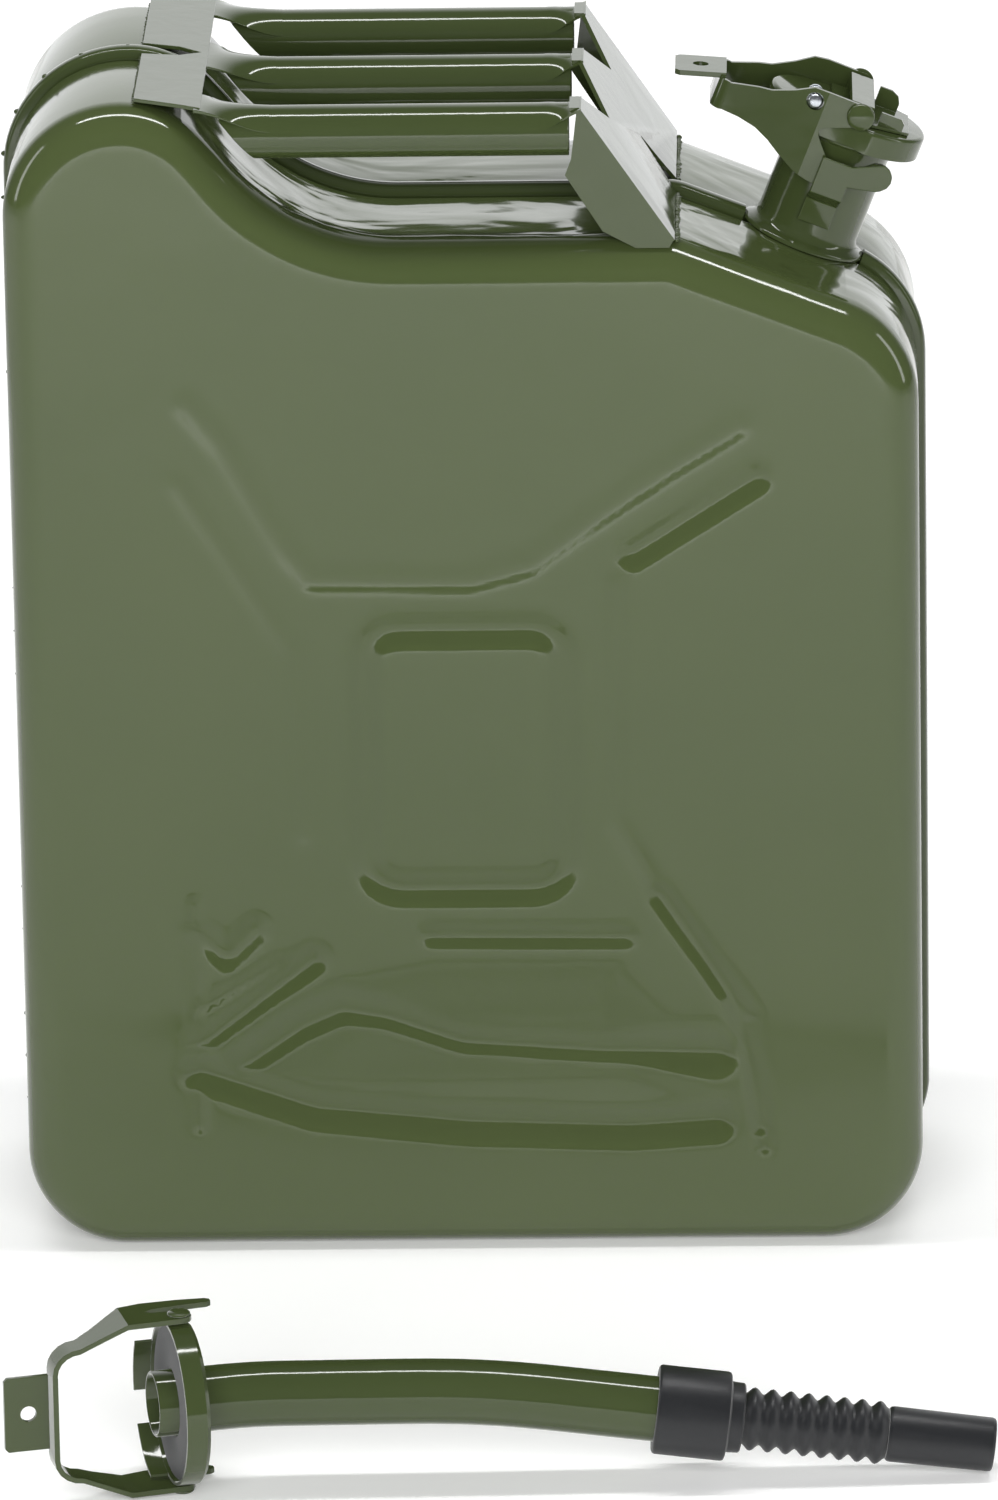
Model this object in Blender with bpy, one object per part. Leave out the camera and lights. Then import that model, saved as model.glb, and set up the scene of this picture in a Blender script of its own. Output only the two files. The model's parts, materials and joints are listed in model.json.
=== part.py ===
"""A 20 litre pressed-steel fuel can with a cam-lever filler cap, and its loose pouring spout.

Frame: metres, +Z up. The origin is the middle of the can's base, on the floor. +X runs along the can
towards the filler neck, and the can's two broad faces look along -Y (front) and +Y (rear). The spout
lies on the floor in front of the can.
"""

import math

import bmesh
import bpy
from mathutils import Euler, Matrix, Vector
from mathutils.geometry import delaunay_2d_cdt

for old in list(bpy.data.objects):
    bpy.data.objects.remove(old, do_unlink=True)

MM = 0.001
GAP = 0.3 * MM                      # clearance kept between pieces that touch

# Can body
CAN_LENGTH = 350 * MM               # over the seam flange
CAN_DEPTH = 165 * MM
SHOULDER_Z = 453 * MM               # top of the left shoulder
RECESS_Z = 398 * MM                 # floor of the hand recess under the handles
SLOPE_X = 80 * MM                   # where the recess floor turns down towards the neck end
SLOPE = math.radians(21.5)          # fall of the filler shoulder
SEAM_PROUD = 3.5 * MM
SEAM_WIDTH = 8 * MM
SHEET = 1.0 * MM
FACE_RADIUS = 14 * MM               # rounding between a broad face and the side wall
LIP_RADIUS = 4 * MM                 # rounding where the side wall turns in to the seam
SEAM_RECESS = 7 * MM                # depth of the seam recess, and half its width
BASE_CORNER = 38 * MM
LEFT_CORNER = 45 * MM
RIGHT_CORNER = 42 * MM
HUMP_RADIUS = 40 * MM               # left shoulder, on the handle side
DIP_RADIUS = 79.6 * MM              # hollow between the hump and the recess floor
DIP_TURN = math.radians(50)
DIP_X = -24.6 * MM
SLOPE_RADIUS = 20 * MM
SHELL_HALF = CAN_LENGTH / 2 - SEAM_PROUD
HALF_DEPTH = CAN_DEPTH / 2

# Handles
BAR_RADIUS = 10 * MM
BAR_WALL = 1.2 * MM
BAR_Z = 441 * MM
BAR_Y = (-70 * MM, 0.0, 70 * MM)
BAR_LEFT = -92 * MM
BAR_SLANT = 16 * MM
BAR_RIGHT = 41.5 * MM
PLATE = 1.5 * MM

# Filler neck, in its own frame: x across, y along the can's depth, z along the neck
NECK_X = 128.4 * MM
NECK_RADIUS = 19.75 * MM
NECK_BORE = 18.0 * MM
NECK_TOP = 44 * MM
FLANGE_RADIUS = 24 * MM

# Closure: lever pivot and lid pivot in the neck frame
LEVER_PIVOT = Vector((15.5, 0, 38)) * MM
LID_PIVOT = Vector((1.4, 0, 57.7)) * MM
LOCK_PIN = Vector((-16.7, 0, 57.0)) * MM
ARM_HALF = 24.2 * MM                # arm centre to the middle plane
ARM_SHEET = 2.0 * MM
LID_TOP = 53.6 * MM
LID_SKIRT = 8 * MM
LID_SHEET = 1.2 * MM

# Spout
SPOUT_MOUTH = Vector((-97.6, -335.0, 35.2)) * MM   # centre of the cup's back face
CUP_YAW = math.radians(15.5)
TUBE_YAW = math.radians(1.4)
TUBE_DROP = math.radians(7.5)
TUBE_RADIUS = 12 * MM
TUBE_BORE = 10.8 * MM
COLLAR = (169.5 * MM, 201.5 * MM)       # stations along the spout's centre line
BELLOWS = (201.8 * MM, 254.5 * MM)
NOZZLE_END = 294 * MM
RIDGES = 8


# ---------------------------------------------------------------- materials

def steel_paint(name, colour, roughness):
    material = bpy.data.materials.new(name)
    material.use_nodes = True
    shader = material.node_tree.nodes["Principled BSDF"]
    shader.inputs["Base Color"].default_value = (*colour, 1.0)
    shader.inputs["Roughness"].default_value = roughness
    shader.inputs["Metallic"].default_value = 0.0
    return material


def bare_metal(name, colour, roughness):
    material = steel_paint(name, colour, roughness)
    material.node_tree.nodes["Principled BSDF"].inputs["Metallic"].default_value = 1.0
    return material


GREEN = steel_paint("olive_enamel", (0.105, 0.125, 0.062), 0.18)
RUBBER = steel_paint("black_rubber", (0.022, 0.023, 0.025), 0.55)
PLASTIC = steel_paint("black_plastic", (0.025, 0.026, 0.028), 0.42)
ZINC = bare_metal("zinc_plate", (0.62, 0.64, 0.66), 0.3)
SPRING_STEEL = bare_metal("spring_steel", (0.35, 0.35, 0.36), 0.35)


# ---------------------------------------------------------------- making objects

def frame_empty(name, location, rotation=(0, 0, 0), parent=None):
    empty = bpy.data.objects.new(name, None)
    empty.location = location
    empty.rotation_euler = Euler(rotation)
    empty.parent = parent
    bpy.context.collection.objects.link(empty)
    return empty


def add_object(name, mesh_data, material, parent=None, pivot=(0, 0, 0), sharp=35):
    """Turn a bmesh into a named object whose origin is at pivot, a point in the mesh's own frame."""
    bmesh.ops.recalc_face_normals(mesh_data, faces=mesh_data.faces)
    bmesh.ops.translate(mesh_data, verts=mesh_data.verts, vec=-Vector(pivot))
    mesh = bpy.data.meshes.new(name)
    mesh_data.to_mesh(mesh)
    mesh_data.free()
    mesh.shade_smooth()
    mesh.set_sharp_from_angle(angle=math.radians(sharp))
    mesh.materials.append(material)
    obj = bpy.data.objects.new(name, mesh)
    obj.parent = parent
    bpy.context.collection.objects.link(obj)
    return obj


def add_tool(name, mesh_data, parent=None, pivot=(0, 0, 0)):
    tool = add_object(name, mesh_data, GREEN, parent, pivot)
    tool.hide_render = True
    tool.display_type = "WIRE"
    return tool


def boolean(target, tool, operation):
    step = target.modifiers.new(f"{operation.lower()}_{tool.name}", "BOOLEAN")
    step.operation = operation
    step.solver = "EXACT"
    step.object = tool


def ring_loft(rings, closed=True):
    """Skin a list of equally long vertex rings. closed joins the last ring to the first."""
    skin = bmesh.new()
    loops = [[skin.verts.new(point) for point in ring] for ring in rings]
    count = len(loops[0])
    pairs = list(zip(loops, loops[1:]))
    if closed:
        pairs.append((loops[-1], loops[0]))
    for first, second in pairs:
        for i in range(count):
            j = (i + 1) % count
            skin.faces.new((first[i], first[j], second[j], second[i]))
    if not closed:
        skin.faces.new(loops[0])
        skin.faces.new(loops[-1])
    return skin


def turned(profile, segments):
    """Turn a closed (radius, height) outline about Z. A radius of zero becomes a pole."""
    skin = bmesh.new()
    loops = []
    for radius, height in profile:
        if radius <= 0:
            loops.append([skin.verts.new((0, 0, height))])
            continue
        angles = [2 * math.pi * k / segments for k in range(segments)]
        loops.append([skin.verts.new((radius * math.cos(a), radius * math.sin(a), height)) for a in angles])
    for first, second in zip(loops, loops[1:] + loops[:1]):
        if len(first) == 1 and len(second) == 1:
            continue
        for k in range(segments):
            j = (k + 1) % segments
            corners = [first[k % len(first)], first[j % len(first)]]
            corners += [second[j % len(second)], second[k % len(second)]]
            unique = list(dict.fromkeys(corners))
            skin.faces.new(unique)
    return skin


def turned_y(profile, segments, centre=(0, 0, 0)):
    """The same, about an axis along +Y through centre."""
    skin = turned(profile, segments)
    turn = Matrix.Translation(Vector(centre)) @ Matrix.Rotation(math.radians(-90), 4, "X")
    bmesh.ops.transform(skin, matrix=turn, verts=skin.verts)
    return skin


def prism(outline, low, high, along="Y"):
    """Extrude an outline. Along Y it is read as (x, z), along Z as (x, y)."""
    skin = bmesh.new()
    if along == "Y":
        rings = [[skin.verts.new((a, level, b)) for a, b in outline] for level in (low, high)]
    else:
        rings = [[skin.verts.new((a, b, level)) for a, b in outline] for level in (low, high)]
    for i in range(len(outline)):
        j = (i + 1) % len(outline)
        skin.faces.new((rings[0][i], rings[0][j], rings[1][j], rings[1][i]))
    skin.faces.new(rings[0])
    skin.faces.new(rings[1])
    return skin


def box(low, high):
    outline = [(low[0], low[1]), (high[0], low[1]), (high[0], high[1]), (low[0], high[1])]
    return prism(outline, low[2], high[2], along="Z")


def arc(centre, radius, start, end, steps):
    """Points of an arc, ends included, angles in degrees."""
    points = []
    for k in range(steps + 1):
        a = math.radians(start + (end - start) * k / steps)
        points.append((centre[0] + radius * math.cos(a), centre[1] + radius * math.sin(a)))
    return points


def scaled(points):
    return [tuple(value * MM for value in point) for point in points]


# ---------------------------------------------------------------- can body

def body_outline():
    """The can's side view, clockwise from the base, as points with outward normals."""
    slope_turn = math.degrees(SLOPE)
    right_x = SHELL_HALF - RIGHT_CORNER
    right_z = RECESS_Z - (RIGHT_CORNER + math.sin(SLOPE) * (right_x - SLOPE_X)) / math.cos(SLOPE)
    bend_x = SLOPE_X - SLOPE_RADIUS * math.tan(SLOPE / 2)
    left_x = -SHELL_HALF + LEFT_CORNER
    corner = (-SHELL_HALF + BASE_CORNER, BASE_CORNER)
    stretches = [
        (corner, BASE_CORNER, 270, 180, 5, 1),
        ((left_x, SHOULDER_Z - LEFT_CORNER), LEFT_CORNER, 180, 90, 7, 1),
        ((left_x, SHOULDER_Z - HUMP_RADIUS), HUMP_RADIUS, 90, 90 - math.degrees(DIP_TURN), 4, 1),
        ((DIP_X, RECESS_Z + DIP_RADIUS), DIP_RADIUS, 270 - math.degrees(DIP_TURN), 270, 5, -1),
        ((bend_x, RECESS_Z - SLOPE_RADIUS), SLOPE_RADIUS, 90, 90 - slope_turn, 2, 1),
        ((right_x, right_z), RIGHT_CORNER, 90 - slope_turn, 0, 5, 1),
        ((-corner[0], BASE_CORNER), BASE_CORNER, 0, -90, 5, 1),
    ]
    outline = []
    for centre, radius, start, end, steps, bulge in stretches:
        for x, z in arc(centre, radius, start, end, steps):
            normal = (bulge * (x - centre[0]) / radius, bulge * (z - centre[1]) / radius)
            if outline and math.dist(outline[-1][:2], (x, z)) < 0.2 * MM:
                continue
            outline.append((x, z, *normal))
    return outline


OUTLINE = body_outline()


def outline_ring(inset, y):
    return [(x - nx * inset, y, z - nz * inset) for x, z, nx, nz in OUTLINE]


GROOVE_DEPTH = 2.0 * MM
# Pressed grooves of a broad face: centre lines as (x, z) in millimetres, width, closed or open
GROOVES = [
    (arc((-28, 156), 11, 270, 180, 3) + arc((-28, 237), 11, 180, 90, 3)
     + arc((25, 237), 11, 90, 0, 3) + arc((25, 156), 11, 0, -90, 3), 10, True),
    ([(-16, 127), (60, 127)], 8, False),
    ([(111, 309), (58, 276)], 9, False),
    ([(56, 262), (56, 171), (104, 95), (111, 45)], 8, False),
    ([(-104, 338), (-68, 281), (-58, 269), (8, 269), (104, 328)], 8, False),
    ([(-106, 306), (-62, 255), (-62, 165)], 8, False),
    ([(-58, 120), (-106, 86)], 9, False),
    ([(-107, 60), (-39, 101), (-22, 108)], 8, False),
]


def offset_line(points, distance, closed):
    """Points moved sideways by distance, mitred at the corners."""
    moved = []
    count = len(points)
    for i, point in enumerate(points):
        here = Vector(point)
        before = Vector(points[i - 1]) if closed or i > 0 else None
        after = Vector(points[(i + 1) % count]) if closed or i < count - 1 else None
        sides = []
        if before is not None:
            sides.append((here - before).normalized())
        if after is not None:
            sides.append((after - here).normalized())
        tangent = sum(sides, Vector((0, 0))).normalized()
        normal = Vector((-tangent.y, tangent.x))
        stretch = 1 / max(0.5, normal.dot(Vector((-sides[0].y, sides[0].x))))
        moved.append(tuple(here + normal * distance * stretch))
    return moved


def inside(point, loop):
    """Whether a point (x, z) lies inside a closed loop of points."""
    x, z = point
    within = False
    for (ax, az), (bx, bz) in zip(loop, loop[1:] + loop[:1]):
        if (az > z) != (bz > z) and x < ax + (bx - ax) * (z - az) / (bz - az):
            within = not within
    return within


def face_pattern(ring):
    """Flat face triangulated around its grooves: vertices (x, z, depth) and triangles."""
    points = [(x, z) for x, _, z in ring]
    depths = [0.0] * len(points)
    edges = [(i, (i + 1) % len(points)) for i in range(len(points))]

    def add_loop(loop, depth, closed):
        start = len(points)
        points.extend(loop)
        depths.extend([depth] * len(loop))
        last = len(loop) if closed else len(loop) - 1
        edges.extend((start + i, start + (i + 1) % len(loop)) for i in range(last))

    for line, width, closed in GROOVES:
        line = scaled(line)
        left = offset_line(line, width * MM / 2, closed)
        right = offset_line(line, -width * MM / 2, closed)
        if closed:
            add_loop(left, 0.0, True)
            add_loop(right, 0.0, True)
        else:
            first = Vector(line[0]) + (Vector(line[0]) - Vector(line[1])).normalized() * width * MM / 2
            last = Vector(line[-1]) + (Vector(line[-1]) - Vector(line[-2])).normalized() * width * MM / 2
            add_loop([tuple(first)] + left + [tuple(last)] + right[::-1], 0.0, True)
        add_loop(line, GROOVE_DEPTH, closed)
    outer = [list(range(len(ring)))]
    flat = [Vector(point) for point in points]
    verts, _, faces, origin, _, _ = delaunay_2d_cdt(flat, edges, outer, 1, 1e-7, True)
    rim = points[:len(ring)]
    kept = []
    for face in faces:
        middle = sum((verts[i] for i in face), Vector((0, 0))) / len(face)
        if inside(middle, rim):
            kept.append(face)
    found = [(v.x, v.y, depths[ids[0]] if ids else 0.0) for v, ids in zip(verts, origin)]
    place = {old: new for new, ids in enumerate(origin) for old in ids}
    return found, kept, [place[i] for i in range(len(ring))]


def half_shell(name, side):
    """One pressed half: broad face, rounded edge, side wall, and the turned-in seam edge."""
    steps = 3
    outer_path = []
    inner_path = []
    for k in range(steps + 1):
        a = math.radians(90 * k / steps)
        level = HALF_DEPTH - FACE_RADIUS
        outer_path.append((FACE_RADIUS * (1 - math.sin(a)), level + FACE_RADIUS * math.cos(a)))
        inner_radius = FACE_RADIUS - SHEET
        inner_path.append((FACE_RADIUS - inner_radius * math.sin(a), level + inner_radius * math.cos(a)))
    for k in range(3):
        a = math.radians(45 * k)
        level = SEAM_RECESS + LIP_RADIUS
        outer_path.append((LIP_RADIUS * (1 - math.cos(a)), level - LIP_RADIUS * math.sin(a)))
        inner_radius = LIP_RADIUS - SHEET
        inner_path.append((LIP_RADIUS - inner_radius * math.cos(a), level - inner_radius * math.sin(a)))
    outer_path += [(SEAM_RECESS, SEAM_RECESS), (SEAM_RECESS, GAP / 2)]
    inner_path += [(SEAM_RECESS + SHEET, SEAM_RECESS + SHEET), (SEAM_RECESS + SHEET, GAP / 2)]

    skin = bmesh.new()
    loops = []
    face_edges = []
    for level in (HALF_DEPTH, HALF_DEPTH - SHEET):
        found, faces, rim = face_pattern(outline_ring(FACE_RADIUS, 0))
        corners = [skin.verts.new((x, side * (level - depth), z)) for x, z, depth in found]
        for face in faces:
            skin.faces.new([corners[i] for i in face])
        face_edges.append([corners[i] for i in rim])
    loops.append(face_edges[0])
    for inset, y in outer_path[1:]:
        loops.append([skin.verts.new(point) for point in outline_ring(inset, side * y)])
    for inset, y in reversed(inner_path[1:]):
        loops.append([skin.verts.new(point) for point in outline_ring(inset, side * y)])
    loops.append(face_edges[1])
    count = len(OUTLINE)
    for first, second in zip(loops, loops[1:]):
        for i in range(count):
            j = (i + 1) % count
            skin.faces.new((first[i], first[j], second[j], second[i]))
    return add_object(name, skin, GREEN)


def seam_flange():
    """The welded flange that stands in the recess between the halves, flush with the base below."""
    rings = []
    half = SEAM_WIDTH / 2
    root = SEAM_RECESS - GAP
    for offset, y in ((-root, -half), (-1.8 * MM, -half), (0, -half * 0.55),
                      (0, half * 0.55), (-1.8 * MM, half), (-root, half)):
        ring = []
        for x, z, nx, nz in OUTLINE:
            proud = min(SEAM_PROUD, z * 0.0875)
            reach = offset + proud if offset > -root else offset
            ring.append((x + nx * reach, y, z + nz * reach))
        rings.append(ring)
    return add_object("seam_flange", ring_loft(rings), GREEN)


front_shell = half_shell("front_shell", -1)
rear_shell = half_shell("rear_shell", 1)
seam = seam_flange()


# ---------------------------------------------------------------- handles

def handle_bar(name, y):
    """A rolled tube with a square right end, and a left end cut back underneath."""
    sides = 18
    rings = []
    for radius, x_end in ((BAR_RADIUS, BAR_LEFT), (BAR_RADIUS, BAR_RIGHT),
                          (BAR_RADIUS - BAR_WALL, BAR_RIGHT), (BAR_RADIUS - BAR_WALL, BAR_LEFT)):
        ring = []
        for k in range(sides):
            a = 2 * math.pi * k / sides
            drop = (1 - math.sin(a)) / 2
            x = x_end + (BAR_SLANT * drop if x_end == BAR_LEFT else 0)
            ring.append((x, y + radius * math.cos(a), BAR_Z + radius * math.sin(a)))
        rings.append(ring)
    return add_object(name, ring_loft(rings), GREEN)


for bar_name, bar_y in zip(("handle_bar_front", "handle_bar_middle", "handle_bar_rear"), BAR_Y):
    handle_bar(bar_name, bar_y)


def left_bracket():
    """The plate that ties the three bars to the left shoulder, notched over the seam."""
    plan = scaled([(-121, -73), (-104, -77), (-92.4, -79), (-92.4, 79), (-104, 77), (-121, 73),
                   (-121, 7.5), (-107, 6), (-98, 0), (-107, -6), (-121, -7.5)])
    skin = prism(plan, 453.4 * MM, 453.4 * MM + PLATE, along="Z")
    for vert in skin.verts:
        vert.co.z -= (vert.co.x + 121 * MM) * 0.075
    return add_object("handle_bracket_left", skin, GREEN)


def right_bracket():
    """The folded plate that carries the bars' right ends down to the shoulder."""
    half = 77.5 * MM
    top = (45.5 * MM, BAR_Z + BAR_RADIUS)
    foot = (80.6 * MM, 399.4 * MM)
    lean = Vector((foot[0] - top[0], foot[1] - top[1])).normalized()
    under = Vector((lean.y, -lean.x)) * PLATE
    section = [(BAR_RIGHT + GAP, top[1]), top, foot, (foot[0] + under.x, foot[1] + under.y),
               (top[0] + under.x * 0.7, top[1] - PLATE), (BAR_RIGHT + GAP, top[1] - PLATE)]
    plate = add_object("handle_bracket_right", prism(section, -half, half), GREEN)
    wing = scaled([(44.5, 449.9), (42.2, 431), (39.8, 425), (53.7, 403), (66, 396.4), (78.5, 396.4),
                   (79.9, 398.9)])
    for tag, low, high in (("front", -half, -half + PLATE), ("rear", half - PLATE, half)):
        boolean(plate, add_tool(f"wing_{tag}_tool", prism(wing, low, high)), "UNION")
    across = Vector((0, 1, 0))
    along = Vector((-lean.x, 0, -lean.y))
    turn = Matrix((across, along, across.cross(along))).transposed().to_4x4()
    for side in (-1, 1):
        notch = prism(scaled([(-26, 4), (-26, 0), (0, -19), (26, 0), (26, 4)]), -9 * MM, 9 * MM, along="Z")
        place = Matrix.Translation((top[0], side * 35 * MM, top[1])) @ turn
        bmesh.ops.transform(notch, matrix=place, verts=notch.verts)
        boolean(plate, add_tool(f"finger_notch_tool_{side + 1}", notch), "DIFFERENCE")
    seam_slot = box((60 * MM, -6.5 * MM, 390 * MM), (90 * MM, 6.5 * MM, 404.5 * MM))
    boolean(plate, add_tool("seam_slot_tool", seam_slot), "DIFFERENCE")
    return plate


left_bracket()
right_bracket()


# ---------------------------------------------------------------- filler neck

NECK_FOOT = (NECK_X, 0, RECESS_Z - math.tan(SLOPE) * (NECK_X - SLOPE_X))
neck_frame = frame_empty("neck_frame", NECK_FOOT, (0, SLOPE, 0))

neck_profile = scaled([(19.75, -7), (19.75, 0.3), (24, 0.3), (24, 1.6), (21, 3.2), (19.75, 6), (19.75, 42)])
neck_profile += scaled(arc((19.5, 43.7), 1.3, -60, 110, 4)) + scaled([(18, 44.2), (18, -7)])
add_object("filler_neck", turned(neck_profile, 32), GREEN, neck_frame)

for shell in (front_shell, rear_shell):
    hole = turned([(0, -14 * MM), (NECK_RADIUS + GAP, -14 * MM), (NECK_RADIUS + GAP, 8 * MM), (0, 8 * MM)], 32)
    boolean(shell, add_tool(f"{shell.name}_neck_tool", hole, neck_frame), "DIFFERENCE")
seam_cut = turned([(0, -14 * MM), (FLANGE_RADIUS + GAP, -14 * MM), (FLANGE_RADIUS + GAP, 9 * MM), (0, 9 * MM)], 32)
boolean(seam, add_tool("seam_neck_tool", seam_cut, neck_frame), "DIFFERENCE")


def breather_tube():
    """The air tube inside the neck, bent forward into the tank so that the can pours smoothly."""
    outer = 3.4 * MM
    inner = 2.4 * MM
    rings = []
    for radius, levels in ((outer, (36, -10, -24, -40)), (inner, (-40, -24, -10, 36))):
        for level in levels:
            bend = max(0.0, -10 - level) * 0.35
            centre = (-13.8 - bend, level)
            ring = []
            for k in range(10):
                a = 2 * math.pi * k / 10
                x = centre[0] * MM + radius * math.cos(a)
                ring.append((x, radius * math.sin(a), centre[1] * MM))
            rings.append(ring)
    return add_object("breather_tube", ring_loft(rings), ZINC, neck_frame)


breather_tube()


def catch_bracket(name, side):
    """Strap welded to the neck, standing off it at the top, with the ear that holds the lever's pin."""
    section = scaled([(20.1, 11), (20.1, 21.2), (25.7, 25), (25.7, 38.6), (27.5, 38.6), (27.5, 24.2),
                      (21.9, 20.4), (21.9, 11)])
    skin = bmesh.new()
    rings = [[skin.verts.new((x * MM, side * y, z)) for y, z in section] for x in (-6.4, 6.2)]
    for i in range(len(section)):
        j = (i + 1) % len(section)
        skin.faces.new((rings[0][i], rings[0][j], rings[1][j], rings[1][i]))
    skin.faces.new(rings[0])
    skin.faces.new(rings[1])
    strap = add_object(name, skin, GREEN, neck_frame)
    ear = scaled([(5.4, 30.2), (16.8, 32.6)] + arc((15.8, 38.2), 5.4, -60, 80, 5) + [(5.4, 38.6)])
    low, high = sorted((side * 25.7 * MM, side * 27.5 * MM))
    boolean(strap, add_tool(f"{name}_ear_tool", prism(ear, low, high), neck_frame), "UNION")
    return strap


catch_bracket("catch_bracket_front", -1)
catch_bracket("catch_bracket_rear", 1)

for tag, side in (("front", -1), ("rear", 1)):
    pin = turned_y([(0, 21.2 * MM), (3.4 * MM, 21.2 * MM), (3.4 * MM, 22.9 * MM), (2.2 * MM, 22.9 * MM),
                    (2.2 * MM, 25.4 * MM), (0, 25.4 * MM)], 16)
    if side < 0:
        bmesh.ops.scale(pin, vec=(1, -1, 1), verts=pin.verts)
    bmesh.ops.translate(pin, vec=LEVER_PIVOT, verts=pin.verts)
    add_object(f"lever_pin_{tag}", pin, GREEN, neck_frame)


# ---------------------------------------------------------------- cam levers

def cam_lever(name, arm, fold, end, spread, height, tab, holes, parent, pivot):
    """A wishbone lever bent from one strip: two arms, the closed end between them, and a flat tab.

    arm     outline of an arm as (x, z), from the top of its left edge round to the foot of that edge
    fold    index pairs of the outline points where the arms start to close in
    end     x of the closed end
    spread  half width at the arms and at the closed end
    height  (foot, top) of the closed end
    """
    skin = bmesh.new()
    half = ARM_SHEET / 2
    wide, narrow = spread
    x_left = arm[0][0]
    x_fold = arm[fold[0]][0]

    def middle(x):
        if x >= x_fold:
            return wide
        return wide - (wide - narrow) * (x_fold - x) / (x_fold - x_left)

    edges = {}
    for side in (-1, 1):
        layers = {}
        for layer in (-1, 1):
            layers[layer] = [skin.verts.new((x, side * (middle(x) + layer * half), z)) for x, z in arm]
            a, b = fold
            right_part = layers[layer][a:b + 1]
            left_part = layers[layer][:a + 1] + layers[layer][b:]
            skin.faces.new(right_part)
            skin.faces.new(left_part)
        for i in range(len(arm) - 1):
            skin.faces.new((layers[-1][i], layers[-1][i + 1], layers[1][i + 1], layers[1][i]))
        edges[side] = (layers[-1][-1], layers[-1][0], layers[1][0], layers[1][-1])
    bend = x_left - end
    path = []
    for k in range(1, 6):
        a = math.radians(18 * k)
        path.append((x_left - bend * math.sin(a), narrow - bend * 0.9 * (1 - math.cos(a))))
    stations = [(x, -y) for x, y in path] + [(x, y) for x, y in reversed(path)]
    foot, top = height
    previous = edges[-1]
    chain = [(x_left, -narrow)] + stations + [(x_left, narrow)]
    for i, (x, y) in enumerate(stations):
        before = Vector(chain[i])
        after = Vector(chain[i + 2])
        tangent = (after - before).normalized()
        inward = Vector((tangent.y, -tangent.x)) if y < 0 else Vector((tangent.y, -tangent.x))
        centre = Vector((x, y))
        near = centre + inward * half
        far = centre - inward * half
        ring = [skin.verts.new((near.x, near.y, foot)), skin.verts.new((near.x, near.y, top)),
                skin.verts.new((far.x, far.y, top)), skin.verts.new((far.x, far.y, foot))]
        for k in range(4):
            j = (k + 1) % 4
            skin.faces.new((previous[k], previous[j], ring[j], ring[k]))
        previous = ring
    last = edges[1]
    for k in range(4):
        j = (k + 1) % 4
        skin.faces.new((previous[k], previous[j], last[j], last[k]))
    lever = add_object(name, skin, GREEN, parent, pivot)

    tab_plan, tab_z, tab_tilt = tab
    plate = prism(tab_plan, -ARM_SHEET / 2, ARM_SHEET / 2, along="Z")
    turn = Matrix.Translation((end, 0, tab_z)) @ Matrix.Rotation(tab_tilt, 4, "Y")
    bmesh.ops.transform(plate, matrix=turn, verts=plate.verts)
    boolean(lever, add_tool(f"{name}_tab_tool", plate, parent, pivot), "UNION")
    for i, (x, z, radius, near, far) in enumerate(holes):
        drill = turned_y([(0, near), (radius, near), (radius, far), (0, far)], 16, (x, 0, z))
        boolean(lever, add_tool(f"{name}_drill_tool_{i}", drill, parent, pivot), "DIFFERENCE")
    tab_hole = turned([(0, -8 * MM), (3 * MM, -8 * MM), (3 * MM, 8 * MM), (0, 8 * MM)], 16)
    shift = turn @ Matrix.Translation((-8.6 * MM, 0, 0))
    bmesh.ops.transform(tab_hole, matrix=shift, verts=tab_hole.verts)
    boolean(lever, add_tool(f"{name}_tab_hole_tool", tab_hole, parent, pivot), "DIFFERENCE")
    return lever


lever_pivot = frame_empty("lever_pivot", LEVER_PIVOT, parent=neck_frame)
lid_pivot = frame_empty("lid_pivot", LID_PIVOT - LEVER_PIVOT, parent=lever_pivot)

closure_arm = scaled([(-48, 50.3), (-38, 53.2), (-33, 54.1), (-25, 57.8), (-18.4, 61.8), (-12.8, 62.2), (-2, 62.0)]
                     + arc((1.4, 57.7), 4.6, 75, -85, 6)
                     + [(-3, 51.4), (-9.6, 48.8), (-11.4, 47.2), (-11.0, 45.2), (-8.6, 42.2), (-4.2, 37.2),
                        (1.5, 35.6), (8.5, 38.6)]
                     + arc((15.5, 38.0), 4.9, 120, -115, 7)
                     + [(8, 31.2), (2, 28.2), (-4, 26.6), (-9, 27.2), (-12.8, 28.1), (-16, 29.2), (-22.3, 32.4),
                        (-28, 35.8), (-34, 38.3), (-41, 39.4), (-48, 39.5)])
top_fold = next(i for i, point in enumerate(closure_arm) if abs(point[0] + 12.8 * MM) < 1e-9)
foot_fold = next(i for i in range(len(closure_arm) - 1, 0, -1) if abs(closure_arm[i][0] + 12.8 * MM) < 1e-9)
tab_outline = scaled([(1.2, -11.6), (1.2, 11.6), (-16.5, 11.6), (-18.3, 9.8), (-18.3, -9.8), (-16.5, -11.6)])
reach = 40 * MM
cam_lever("closure_lever", closure_arm, (top_fold, foot_fold), -51.6 * MM, (ARM_HALF, 15.2 * MM),
          (39.2 * MM, 50.6 * MM), (tab_outline, 50.9 * MM, math.radians(-17)),
          [(LEVER_PIVOT.x, LEVER_PIVOT.z, 2.5 * MM, -reach, reach), (LID_PIVOT.x, LID_PIVOT.z, 2.3 * MM, -reach, reach),
           (LOCK_PIN.x, LOCK_PIN.z, 3.4 * MM, -reach, 0)],
          lever_pivot, LEVER_PIVOT)


# ---------------------------------------------------------------- lid

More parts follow.
